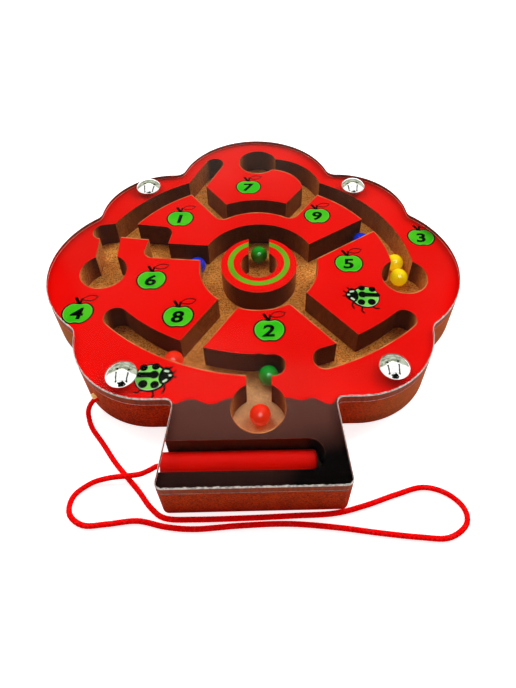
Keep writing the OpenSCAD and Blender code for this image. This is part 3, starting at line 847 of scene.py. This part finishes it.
def ladybird_figure():
    """Loops of a printed ladybird that looks left, each with its ink: legs, shell, wings, spots, head."""
    legs = (
        [(-4.6, -2.4), (-5.4, -4.2), (-4.9, -5.9)], [(-1.3, -5.6), (-2.0, -7.4), (-1.2, -8.7)],
        [(2.9, -5.4), (4.0, -6.7), (5.4, -6.8)], [(-6.4, 2.6), (-7.5, 3.9)], [(-6.8, 1.4), (-8.2, 1.3)],
        [(-4.6, 4.2), (-5.7, 5.7)],
    )
    spots = ((0.1, 1.4, 1.75), (0.4, 5.0, 1.5), (4.8, 3.9, 1.5), (-1.2, -2.8, 1.6), (3.2, -3.1, 1.7))
    face = ([(-4.7, 3.4), (-3.6, 3.5)], [(-4.9, -0.3), (-4.1, -1.1)], [(-6.0, 1.8), (-5.7, 1.8)])
    figures = [(band(leg, 0.38), "black") for leg in legs]
    figures += [(egg(0.8, -0.1, 6.3, 6.1, 0.4), "black"), (egg(-4.4, 1.3, 2.8, 3.4, 0.5), "black")]
    figures += [(egg(1.1, -0.1, 5.6, 5.4, 0.4), "pale"), (egg(1.1, -0.1, 5.35, 5.15, 0.4), "leaf")]
    figures.append((band([(0.2, 1.3), (6.4, 0.5)], 1.15), "black"))
    figures += [(disc((x, y), radius, 0.3), "black") for x, y, radius in spots]
    figures.append((egg(-3.9, 1.5, 2.2, 3.9, -0.2), "black"))
    return figures + [(band(line, 0.48, 0.2), "pale") for line in face]


APPLES = {7: (-5.3, 55.7), 1: (-38.2, 31.3), 9: (28.7, 32.7), 3: (76.9, 16.4), 5: (40.6, -0.2),
          6: (-46.8, -9.0), 8: (-33.2, -29.5), 4: (-74.6, -27.1), 2: (4.2, -37.2)}
LADYBIRDS = [((44.3, -20.2), 1, 4), ((-39.4, -58.7), -1, -8)]
INKS = ["red", "black", "green", "line", "trunk", "pale", "leaf", "edge", "worn"]


def turned(loop, flip, angle):
    """A loop mirrored left to right where flip is -1, then turned by an angle in degrees."""
    c, s = math.cos(math.radians(angle)), math.sin(math.radians(angle))
    return (loop * [flip, 1]) @ np.array([[c, s], [-s, c]])


def artwork():
    """Every printed loop in its place, in the order of printing, with its ink."""
    wave = [(-40, -66), (-30.6, -66.1), (-28.8, -66.5), (-23, -64.7), (-16, -67), (-9, -64.6), (0, -65.4),
            (11.5, -64.9), (17, -66), (21, -65.1), (27.2, -67.8), (31.2, -64.4), (40, -66)]
    trunk = np.concatenate([smooth_line(wave, 12), [[40, -110], [-40, -110]]])
    prints = [(trunk, "trunk")]
    rim, line = [0, -0.4], RING + [0, 1]
    # painted light: a thin lighter band along the near rims of the channels and the well, set off by rim
    prints += [(loop + rim, "worn") for loop in (*maze_lanes()[:-1], disc(RING, RING_OUT))]
    prints += [(disc(RING, RING_IN + 0.2), "red"), (disc(RING + rim, WELL_R), "worn")]
    prints += [(disc(line, 13.9), "line"), (disc(line, 11.5), "red")]
    for number, at in APPLES.items():
        prints += [(loop + at + RING, tone) for loop, tone in apple_figure(number)]
    for at, flip, angle in LADYBIRDS:
        prints += [(turned(loop, flip, angle) + at + RING, tone) for loop, tone in ladybird_figure()]
    return prints


# Settings that a user may change


def tone_setting(name, description, default):
    """A colour."""
    return bpy.props.FloatVectorProperty(
        name=name, description=description, default=default, subtype="COLOR", size=3, min=0, max=1)


def length_setting(name, description, default, low, high):
    """A length, given here in millimetres."""
    return bpy.props.FloatProperty(
        name=name, description=description, default=default * MM, min=low * MM, max=high * MM, unit="LENGTH",
        precision=5)


def share_setting(name, description, default, high):
    """A share from 0 up to high."""
    return bpy.props.FloatProperty(
        name=name, description=description, default=default, min=0, max=high, subtype="FACTOR")


class BoardSettings(bpy.types.PropertyGroup):
    floor_tone: tone_setting("Channel floor", "Light tone of the channels' floors", colour("FFAC50"))
    wall_tone: tone_setting("Channel wall", "Light tone of the channels' walls", colour("F8A050"))
    side_tone: tone_setting("Board side", "Light tone of the board's outer side", colour("FF5010"))


class PrintSettings(bpy.types.PropertyGroup):
    crown: tone_setting("Crown", "Ink of the crown", colour("FF0600"))
    fruit: tone_setting("Apples", "Ink of the apples", colour("2ECC12"))
    ring: tone_setting("Ring line", "Ink of the ring's line", colour("70B91C"))
    trunk: tone_setting("Trunk", "Ink of the trunk's upper part", colour("62382F"))


class CoverSettings(bpy.types.PropertyGroup):
    tint: tone_setting("Tint", "Colour of the clear cover", (0.985, 0.99, 0.99))
    # the edge tint is painted reflection: what the sawn side shows at the front
    edge: tone_setting("Edge tint", "Colour seen in the cover's sawn side", colour("B04818"))
    bevel: length_setting("Edge bevel", "Width of the cover's broken edges", 0.3, 0.05, 1)
    chips: length_setting("Chips", "Depth of the chips along the top of the cut edge", 0.25, 0, 0.5)


class BallSettings(bpy.types.PropertyGroup):
    green: tone_setting("Green", "Paint of the green balls", colour("00B020"))
    red: tone_setting("Red", "Paint of the red balls", colour("FF2A08"))
    blue: tone_setting("Blue", "Paint of the blue balls", colour("0830E0"))
    yellow: tone_setting("Yellow", "Paint of the yellow balls", colour("FFE000"))


class MetalSettings(bpy.types.PropertyGroup):
    tone: tone_setting("Caps", "Tone of the domed caps", (0.88, 0.88, 0.87))
    rough: share_setting("Roughness", "Roughness of the domed caps", 0.05, 1)


class WandSettings(bpy.types.PropertyGroup):
    tone: tone_setting("Wand", "Colour of the wand", colour("F00A00"))
    rounding: length_setting("End rounding", "Radius of the wand's rounded tip", 1.3, 0.1, 3)


class CordSettings(bpy.types.PropertyGroup):
    tone: tone_setting("Cord", "Colour of the cord", colour("FF0404"))
    pitch: length_setting("Braid pitch", "Length of one crossing of the braid", 1.5, 0.4, 6)
    relief: share_setting("Braid relief", "Height of the strands as a share of the radius", 0.07, 0.2)


class StageSettings(bpy.types.PropertyGroup):
    fill: bpy.props.FloatProperty(
        name="Fill", description="Strength of the even light from all round", default=0.75, min=0, max=3)
    key: bpy.props.FloatProperty(
        name="Key", description="Power of the large lamp", default=3.8, min=0, max=50, unit="POWER")


class MazeToySettings(bpy.types.PropertyGroup):
    board: bpy.props.PointerProperty(type=BoardSettings, name="Board", description="Fibreboard")
    printing: bpy.props.PointerProperty(type=PrintSettings, name="Print", description="Printed face")
    cover: bpy.props.PointerProperty(type=CoverSettings, name="Cover", description="Clear cover")
    balls: bpy.props.PointerProperty(type=BallSettings, name="Balls", description="Balls")
    metal: bpy.props.PointerProperty(type=MetalSettings, name="Metal", description="Domed caps")
    wand: bpy.props.PointerProperty(type=WandSettings, name="Wand", description="Wand")
    cord: bpy.props.PointerProperty(type=CordSettings, name="Cord", description="Cord")
    stage: bpy.props.PointerProperty(type=StageSettings, name="Stage", description="Light")


# Operators, one for each piece or group of like pieces


class MAZETOY_OT_stage(bpy.types.Operator):
    """Makes the camera, the lamps, the white floor and the surroundings"""

    bl_idname = "mazetoy.stage"
    bl_label = "Stage"

    def execute(self, context):
        settings = context.scene.maze_toy.stage
        scene = context.scene
        scene.view_settings.view_transform = "Standard"
        lens = bpy.data.cameras.new("camera")
        lens.lens, lens.sensor_width = LENS, 36
        lens.shift_x, lens.shift_y = LENS_SHIFT
        lens.clip_start, lens.clip_end = 0.01, 20
        camera = bpy.data.objects.new("camera", lens)
        camera.location = CAMERA_AT
        camera.rotation_euler = [math.radians(turn) for turn in CAMERA_TURN]
        context.collection.objects.link(camera)
        scene.camera = camera
        self.lamp(context, "key lamp", (0.45, 0.35, 0.72), 0.45, settings.key)
        self.lamp(context, "top lamp", (-0.35, 0.35, 0.8), 0.5, settings.key * 0.75)
        self.surroundings(scene, settings.fill)
        self.floor()
        return {"FINISHED"}

    def lamp(self, context, name, place, size, power):
        """A square lamp that faces the toy."""
        data = bpy.data.lights.new(name, "AREA")
        data.shape, data.size, data.energy = "SQUARE", size, power
        lamp = bpy.data.objects.new(name, data)
        lamp.location = place
        lamp.rotation_mode = "QUATERNION"
        lamp.rotation_quaternion = (-Vector(place)).to_track_quat("-Z", "Y")
        context.collection.objects.link(lamp)
        lamp.visible_glossy = lamp.visible_transmission = False

    def surroundings(self, scene, fill):
        """White for the camera; a light tent with a dark seam for gloss; an even grey as light."""
        scene.world = bpy.data.worlds.new("surroundings")
        r = Recipe("surroundings", scene.world)
        camera, glossy, through = r.rays("Is Camera Ray", "Is Glossy Ray", "Is Transmission Ray")
        bounced = r.rays("Glossy Depth")[0] > 0.5
        heading = r.coordinates("Generated")
        side, ahead, rise = r.parts(heading)
        height = ahead * -0.47 + rise * 0.88
        glow = height.above(0.93, 0.945) * (1 - height.above(0.975, 0.985))
        seam = r.mix(glow, (0.02, 0.02, 0.02), (8.0, 8.0, 8.0))
        tent = r.mix(bounced * through, self.light_tent(r, heading, side, ahead), seam)
        even = r.mix(ahead.above(-0.4, 0.5) * 0.92 + 0.08, (0, 0, 0), (fill, fill, fill))
        seen = camera.most(through * (1 - bounced))
        tone = r.mix(seen, r.mix(glossy, even, tent), (1, 1, 1))
        r.finish(r.add("ShaderNodeBackground", None, {"Color": tone}))

    def light_tent(self, r, heading, side, ahead):
        """What polished faces mirror: white cloth with a lit band, a grey-green room and a dark frame."""
        cloud = r.add("ShaderNodeTexNoise", None, {"Vector": heading, "Scale": 5.0, "Detail": 3.0})
        across = abs(side)
        room = r.mix(cloud.above(0.35, 0.65), (0.24, 0.28, 0.18), (0.7, 0.74, 0.6))
        cloth = r.mix(ahead.above(0.45, 0.5), (1.25, 1.25, 1.22), (4.2, 4.0, 3.7))
        tent = r.mix((ahead + across * 0.25 + cloud * 0.3).above(0.66, 0.78), cloth, room)
        post = (across + cloud * 0.1).near(0.51, 0.07) * (1 - abs(ahead + 0.08).above(0.38, 0.42))
        rail = ahead.near(-0.44, 0.03) * (1 - across.above(0.44, 0.48)) * 0.35
        dark = post.most(rail)
        for far, deep, size in ((0.46, -0.45, 0.1), (0.46, 0.3, 0.08), (0.4, 0.6, 0.1)):
            away = ((across - far) ** 2 + (ahead - deep) ** 2).math("SQRT")
            dark = dark.most(1 - away.above(size * 0.7, size))
        wide = ((side - 0.02) * 2.8) ** 2 + ((ahead + 0.7) * 3.4) ** 2
        dark = dark.most(1 - (wide + cloud * 2.4).above(1.9, 2.05))
        tent = r.mix(dark, tent, (0.004, 0.004, 0.004))
        pane = (across * 6.0).most(abs(ahead + 0.05) * 6.0)
        return r.mix(pane.near(1.0, 0.12) * 0.45, tent, (0.3, 0.3, 0.3))

    def floor(self):
        """A wide white floor that keeps the toy's shadow and is lifted to white where it is seen."""
        r = Recipe("white floor")
        camera, glossy, through = r.rays("Is Camera Ray", "Is Glossy Ray", "Is Transmission Ray")
        tone = r.mix(r.noise(60, 2) * 0.02, (0.9, 0.9, 0.9), (0.86, 0.86, 0.86))
        paper = r.add("ShaderNodeBsdfDiffuse", None, {"Color": tone})
        strength = camera.most(glossy).most(through) * 0.8
        lift = r.add("ShaderNodeEmission", None, {"Color": (1, 1, 1), "Strength": strength})
        finish = r.finish(r.add("ShaderNodeAddShader", None, [paper, lift]))
        half, low = 3000, -0.05
        corners = [(-half, -half, low), (half, -half, low), (half, half, low), (-half, half, low)]
        make_piece("floor", corners, [[0, 1, 2, 3]], [finish])


class MAZETOY_OT_cord(bpy.types.Operator):
    """Makes the braided cord along its route, and the knot's finish"""

    bl_idname = "mazetoy.cord"
    bl_label = "Cord"

    def execute(self, context):
        settings = context.scene.maze_toy.cord
        mouth = np.array([*HOLE_AT, ROUTE_START[1]])
        route = [mouth - ROUTE_START[0] * HOLE_OUT, mouth + 0.6 * HOLE_OUT, *ROUTE]
        line, marks = even_line(smooth_line(route, 24), 0.18)
        sides = 20
        turns = np.linspace(0, 1, sides, endpoint=False)[None]
        along = marks[:, None] / (settings.pitch / MM)
        one = np.cos(2 * math.pi * (STRANDS * turns + along))
        two = np.cos(2 * math.pi * (STRANDS * turns - along))
        radius = CORD_R * (1 - settings.relief + settings.relief * np.maximum(one, two))
        places, shapes = sweep(line, radius, sides)
        # the second tone is the painted shade in the braid's grooves
        finish = braided_cord(settings.tone, scaled(settings.tone, 0.8))
        cord = make_piece("braided_cord", places, shapes, [finish], None, crease=180)
        self.map_braid(cord, shapes, np.append(along, 0), sides)
        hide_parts("cord")
        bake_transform(cord)
        dress("cord_knot", finish)
        return {"FINISHED"}

    def map_braid(self, cord, shapes, along, sides):
        """Gives the cord its map: round it from 0 to 1, and along it by 1 for each crossing of the braid.

        A face of the last side ends at 1, where its points' own column is 0. The closing points come last."""
        corner = np.empty(len(cord.data.loops), np.int32)
        cord.data.loops.foreach_get("vertex_index", corner)
        row, column = corner // sides, corner % sides
        face = np.repeat(np.arange(len(shapes)), [len(shape) for shape in shapes])
        quad = face < (len(along) - 2) * sides
        last = quad & (face % sides == sides - 1) & (column == 0)
        uv = np.stack([column / sides + last, along[row]], 1)
        cord.data.uv_layers.new(name="braid").data.foreach_set("uv", uv.astype(np.float32).ravel())

    def place(self, reach):
        """A point on the line from the cord's hole to the wand's tied end, at a reach from the middle."""
        way = np.array([0.65, -0.76, 0])
        return tuple(reach * MM * way)


def slot_end(x, y):
    """1 in the inner end of the wand's slot, which is coloured near black."""
    return x.above(SLOT_END - 2, SLOT_END + 3) * (1 - y.above(SLOT_Y + 6, SLOT_Y + 8))


def crown_side(x, y):
    """How much paler the board's side is: painted light round the crown's left end and at its lower right,
    and the board's own paler tan behind.
    """
    ends = x.above(20, 60) * 0.3 + 0.5 - x.above(-78, -50) * 0.5
    return ends.most(y.above(-45, 0) * 0.85) * y.above(-72, -66)


def near_foot(x, y):
    """How much paler the channel floor is towards the exit pocket, as painted light."""
    return 0.5 - y.above(-62, -42) * 0.5


class MAZETOY_OT_board(bpy.types.Operator):
    """Makes the fibreboard with its routed channels, the wand's slot and the cord's hole"""

    bl_idname = "mazetoy.board"
    bl_label = "Board"

    def execute(self, context):
        settings = context.scene.maze_toy.board
        points, faces, _, level = channel_plan()
        places, shapes, tags = terrace(points, faces, level, (0.0, FLOOR_Z, BOARD_TOP))
        side, floor, wall = settings.side_tone, settings.floor_tone, settings.wall_tone
        floor_dark = tuple(c * share for c, share in zip(floor, (0.48, 0.34, 0.22)))
        # the slot's inner end is coloured near black
        near_black_end = (slot_end, (0.005, 0.003, 0.003))
        finishes = [
            # board side: front lays painted shade on what faces the foot
            fibreboard("board side", side, scaled(side, 0.5), chips=0.9, scorch_and_shade=colour("5A0E00"), low=1,
                       # the side's stain is painted light at the left end and lower right, and the paler tan
                       # behind
                       high=15, front=0.25, stains_and_painted_light=[(crown_side, colour("D89850"))]),
            # channel floor: painted light towards the exit pocket
            fibreboard("channel floor", floor, floor_dark, chips=1.3,
                       stains_and_painted_light=[near_black_end, (near_foot, colour("FFD8A8"))]),
            # channel wall: front lays strong painted shade on what faces the foot
            fibreboard("channel wall", wall, scaled(wall, 0.5), chips=0.5, scorch_and_shade=colour("480600"),
                       low=FLOOR_Z, high=30, front=0.92, stains_and_painted_light=[near_black_end]),
        ]
        which = np.array([0, 0, 1, 0, 2])[tags]
        board = make_piece("fibreboard", places, shapes, finishes, "board", which)
        drop_loose(board)
        self.cut_hole(board)
        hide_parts("maze_board")
        return {"FINISHED"}

    def cut_hole(self, board):
        """Takes the cord's blind hole out of the board's side."""
        places, shapes = lathe([(0, -HOLE_DEPTH), (HOLE_R, -HOLE_DEPTH), (HOLE_R, 2), (0, 2)], 48)
        drill = make_piece("drill", places, shapes, [])
        turn = Matrix.Rotation(math.radians(HOLE_TURN), 4, "Z") @ Matrix.Rotation(math.radians(90), 4, "Y")
        drill.matrix_world = Matrix.Translation((*(HOLE_AT * MM), HOLE_Z * MM)) @ turn
        cut = board.modifiers.new("hole", "BOOLEAN")
        cut.object, cut.operation, cut.solver = drill, "DIFFERENCE", "EXACT"
        bpy.context.view_layer.update()
        seen = board.evaluated_get(bpy.context.evaluated_depsgraph_get())
        mesh = bpy.data.meshes.new_from_object(seen)
        board.modifiers.clear()
        board.data = mesh
        bpy.data.objects.remove(drill)


class MAZETOY_OT_print(bpy.types.Operator):
    """Makes the printed sheet: one thin plate whose faces carry the inks of its artwork"""

    bl_idname = "mazetoy.print"
    bl_label = "Print"

    def execute(self, context):
        settings = context.scene.maze_toy.printing
        prints = artwork()
        points, faces, inside, level = channel_plan([loop for loop, _ in prints])
        order = np.array([INKS.index(tone) for _, tone in prints])
        last = inside.shape[1] - 1 - np.argmax(inside[:, ::-1], axis=1)
        tone = np.where(inside.any(axis=1), order[last], 0)
        kept = level == 2
        places, shapes, _ = terrace(points, faces, kept.astype(int), (BOARD_TOP, SHEET_TOP))
        which = np.full(len(shapes), INKS.index("edge"))
        which[kept.sum() : 2 * kept.sum()] = tone[kept]
        finishes = [
            ink("crown print", settings.crown, scaled(settings.crown, 0.92), 0.4, 0.7, 40),
            ink("black print", colour("050605")),
            ink("apple print", settings.fruit, colour("55D41C"), 0.35, 0.7, 9),
            ink("line print", settings.ring, scaled(settings.ring, 0.85), 0.4, 0.7, 12),
            trunk_ink(settings.trunk, colour("060303")),
            ink("pale print", colour("CFE8C4")),
            ink("wing print", colour("8CE860"), colour("5CD440"), 0.35, 0.7, 6),
            ink("sheet edge", colour("C8402A"), colour("E8A080"), 0.3, 0.8, 3),
            # painted rim light along the channels' near rims
            ink("worn rim", colour("F0A060"), colour("D06030"), 0.3, 0.7, 5),
        ]
        sheet = make_piece("printed_sheet", places, shapes, finishes, "board", which)
        drop_loose(sheet)
        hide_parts("face_sheet")
        return {"FINISHED"}


class MAZETOY_OT_cover(bpy.types.Operator):
    """Makes the clear cover with broken edges, a sawn side and its four nail holes"""

    bl_idname = "mazetoy.cover"
    bl_label = "Cover"

    def execute(self, context):
        settings = context.scene.maze_toy.cover
        bevel, chips = settings.bevel / MM, settings.chips / MM
        sawn = [(0.08, COVER_LOW), (0.02, COVER_LOW + 0.3), (0.05, COVER_LOW + 1.4), (0.02, COVER_LOW + 2.7)]
        broken = [(0.03, COVER_TOP - bevel), (bevel, COVER_TOP)]
        holes = [disc(at, NAIL_HOLE_R, 0.3) for at in CAPS.values()]
        places, shapes, tags = plate(tree_outline(), holes, sawn + broken, chips)
        # the sawn side's two tones are painted reflections
        side = sawn_acrylic(settings.edge, colour("E41404"))
        finishes = [side, frosted_edge((0.95, 0.87, 0.78)), clear_acrylic(settings.tint)]
        cover = make_piece("acrylic_cover", places, shapes, finishes, "board", tags)
        drop_loose(cover)
        smooth = [face.material_index < 2 for face in cover.data.polygons]
        cover.data.polygons.foreach_set("use_smooth", smooth)
        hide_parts("clear_cover")
        return {"FINISHED"}


class MAZETOY_OT_caps(bpy.types.Operator):
    """Makes the four domed caps and gives the nails under them their finish"""

    bl_idname = "mazetoy.caps"
    bl_label = "Caps"

    def execute(self, context):
        settings = context.scene.maze_toy.metal
        finish = polished_metal("cap chrome", settings.tone, settings.rough, wear=0.25)
        nail = polished_metal("nail steel", (0.5, 0.5, 0.52), rough=0.3, wear=0.6)
        for number, name in enumerate(CAPS):
            low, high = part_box("cap_" + name)
            base, rise = (high[0] - low[0]) / 2 / MM, (high[2] - low[2]) / MM
            places, shapes = lathe(self.profile(base, rise), 96)
            # Each dome's top leans a little to another side
            lean = 0.012 * math.sin(1.7 * number + 0.5)
            places[:, 2] += np.maximum(places[:, 2], 0) / rise * lean * places[:, 0]
            middle = (low + high) / 2 / MM
            places = places + [middle[0], middle[1], low[2] / MM]
            cap = make_piece("dome_" + name, places, shapes, [finish], "board", crease=50)
            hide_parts("cap_" + name)
            dress("nail_" + name, nail)
        return {"FINISHED"}

    def profile(self, base, rise):
        """Outside: a short rolled rim, then an arc to the top. Inside: the same, one wall in."""
        rim, wall = 0.55, 0.45
        bow = (base**2 + (rise - rim) ** 2) / (2 * (rise - rim))
        reach = math.asin((base - 0.12) / bow)
        angle = np.linspace(reach, 0, 26)
        outer = np.stack([bow * np.sin(angle), rise - bow + bow * np.cos(angle)], 1)
        angle = np.linspace(0, math.asin((base - wall) / bow) * 0.97, 20)
        inner = np.stack([(bow - wall) * np.sin(angle), rise - bow + (bow - wall) * np.cos(angle)], 1)
        rolled = [(base - wall, 0.0), (base - 0.1, 0.0), (base, 0.12), (base, rim - 0.15)]
        whole = np.concatenate([inner, rolled, outer])
        whole[0, 0] = whole[-1, 0] = 0
        return whole


class MAZETOY_OT_balls(bpy.types.Operator):
    """Makes the eight balls where they rest, each on its own body"""

    bl_idname = "mazetoy.balls"
    bl_label = "Balls"

    def execute(self, context):
        settings = context.scene.maze_toy.balls
        # painted glow of each paint, as its emission strength
        painted_glows = {"green": 0.0, "red": 0.15, "blue": 0.1, "yellow": 0.3}
        paints = {}
        for tone, glow in painted_glows.items():
            paints[tone] = ball_paint(tone + " ball", getattr(settings, tone), glow)
        for node in sorted(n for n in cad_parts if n.startswith("ball_")):
            tone = node.split("_")[1]
            low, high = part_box(node)
            places, shapes = lathe(ball_profile((high[2] - low[2]) / 2 / MM), 64)
            places = places + (low + high) / 2 / MM
            piece = make_piece("painted_" + node, places, shapes, [paints[tone]], node,
                               crease=180)
            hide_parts(node)
        return {"FINISHED"}


class MAZETOY_OT_wand(bpy.types.Operator):
    """Makes the wand's tube with its rounded tip, and finishes the magnet and the plug"""

    bl_idname = "mazetoy.wand"
    bl_label = "Wand"

    def execute(self, context):
        settings = context.scene.maze_toy.wand
        low, high = (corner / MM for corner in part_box("wand_tube"))
        radius, length = (high[2] - low[2]) / 2, high[0] - low[0]
        soft, bore, depth = settings.rounding / MM, radius - 1.1, length - 1.0
        mouth = [(bore, 0.25), (bore + 0.2, 0.0), (radius - 0.3, 0.0), (radius, 0.3)]
        side = [(radius, x) for x in np.linspace(1, length - soft - 0.5, 24)]
        quarter = np.linspace(0, math.pi / 2, 10)
        tip = np.stack([radius - soft + soft * np.cos(quarter), length - soft + soft * np.sin(quarter)], 1)
        places, shapes = lathe([(0.0, depth), (bore, depth), *mouth, *side, *tip, (0.0, length)], 80)
        middle = (low + high) / 2
        places = places[:, [2, 0, 1]] + [low[0], middle[1], middle[2]]
        finish = wand_plastic("wand plastic", settings.tone)
        wand = make_piece("wand_body", places, shapes, [finish], "wand")
        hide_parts("wand_tube")
        dress("wand_plug", wand_plastic("plug plastic", scaled(settings.tone, 0.7)))
        dress("wand_magnet", polished_metal("magnet metal", (0.25, 0.25, 0.27), rough=0.4, wear=0.5))
        return {"FINISHED"}


class MAZETOY_OT_peg(bpy.types.Operator):
    """Makes the pale wooden peg that wedges the cord in its hole"""

    bl_idname = "mazetoy.peg"
    bl_label = "Peg"

    def execute(self, context):
        radius, proud, lift = 1.13, 1.2, 1.08
        blunt = [(0, -HOLE_DEPTH), (radius * 0.7, -HOLE_DEPTH), (radius * 0.95, 1.5 - HOLE_DEPTH)]
        shaft = [(radius, z) for z in np.linspace(-6, proud - 0.5, 14)]
        top = [(radius * 0.93, proud - 0.2), (radius * 0.7, proud - 0.02), (0, proud)]
        places, shapes = lathe(blunt + shaft + top, 32, self.whittled)
        up = np.array([0, 0, 1])
        places = places[:, 2:] * HOLE_OUT + places[:, :1] * np.cross(up, HOLE_OUT) + places[:, 1:2] * up
        places = places + [*HOLE_AT, HOLE_Z + lift]
        finish = pale_wood(colour("FFE090"), colour("F0C070"))
        peg = make_piece("whittled_peg", places, shapes, [finish], "board")
        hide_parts("cord_peg")
        return {"FINISHED"}

    def whittled(self, z, angle):
        """How much the knife left the peg wider or narrower at a height and an angle: two slow waves."""
        return 1 + 0.05 * np.sin(5 * angle + z) - 0.04 * np.cos(2 * angle + 0.7 * z)


def dress(node, finish):
    """Gives a CAD node another finish."""
    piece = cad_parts[node]
    for holder in piece.material_slots:
        holder.material = finish
    if not piece.material_slots:
        piece.data.materials.append(finish)


STEPS = [MAZETOY_OT_stage, MAZETOY_OT_cord, MAZETOY_OT_board, MAZETOY_OT_print, MAZETOY_OT_cover,
         MAZETOY_OT_caps, MAZETOY_OT_balls, MAZETOY_OT_wand, MAZETOY_OT_peg]


class MAZETOY_PT_pieces(bpy.types.Panel):
    """Lists the toy's settings and the steps that make its pieces"""

    bl_label = "Maze toy"
    bl_idname = "MAZETOY_PT_pieces"
    bl_space_type = "VIEW_3D"
    bl_region_type = "UI"
    bl_category = "Maze toy"

    def draw(self, context):
        settings = context.scene.maze_toy
        for group in settings.bl_rna.properties.keys():
            if group in ("rna_type", "name"):
                continue
            box = self.layout.box()
            box.label(text=settings.bl_rna.properties[group].name)
            held = getattr(settings, group)
            for key in held.bl_rna.properties.keys():
                if key not in ("rna_type", "name"):
                    box.prop(held, key)
        for step in STEPS:
            self.layout.operator(step.bl_idname)


CLASSES = [BoardSettings, PrintSettings, CoverSettings, BallSettings, MetalSettings, WandSettings,
           CordSettings, StageSettings, MazeToySettings, *STEPS, MAZETOY_PT_pieces]


def register():
    """Makes the classes and the settings known to Blender."""
    for item in CLASSES:
        bpy.utils.register_class(item)
    bpy.types.Scene.maze_toy = bpy.props.PointerProperty(type=MazeToySettings)


def unregister():
    """Takes the settings and the classes out again."""
    del bpy.types.Scene.maze_toy
    for item in reversed(CLASSES):
        bpy.utils.unregister_class(item)


def main():
    """Runs every step in order."""
    register()
    for step in STEPS:
        group, name = step.bl_idname.split(".")
        getattr(getattr(bpy.ops, group), name)()
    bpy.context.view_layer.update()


if __name__ == "__main__":
    main()
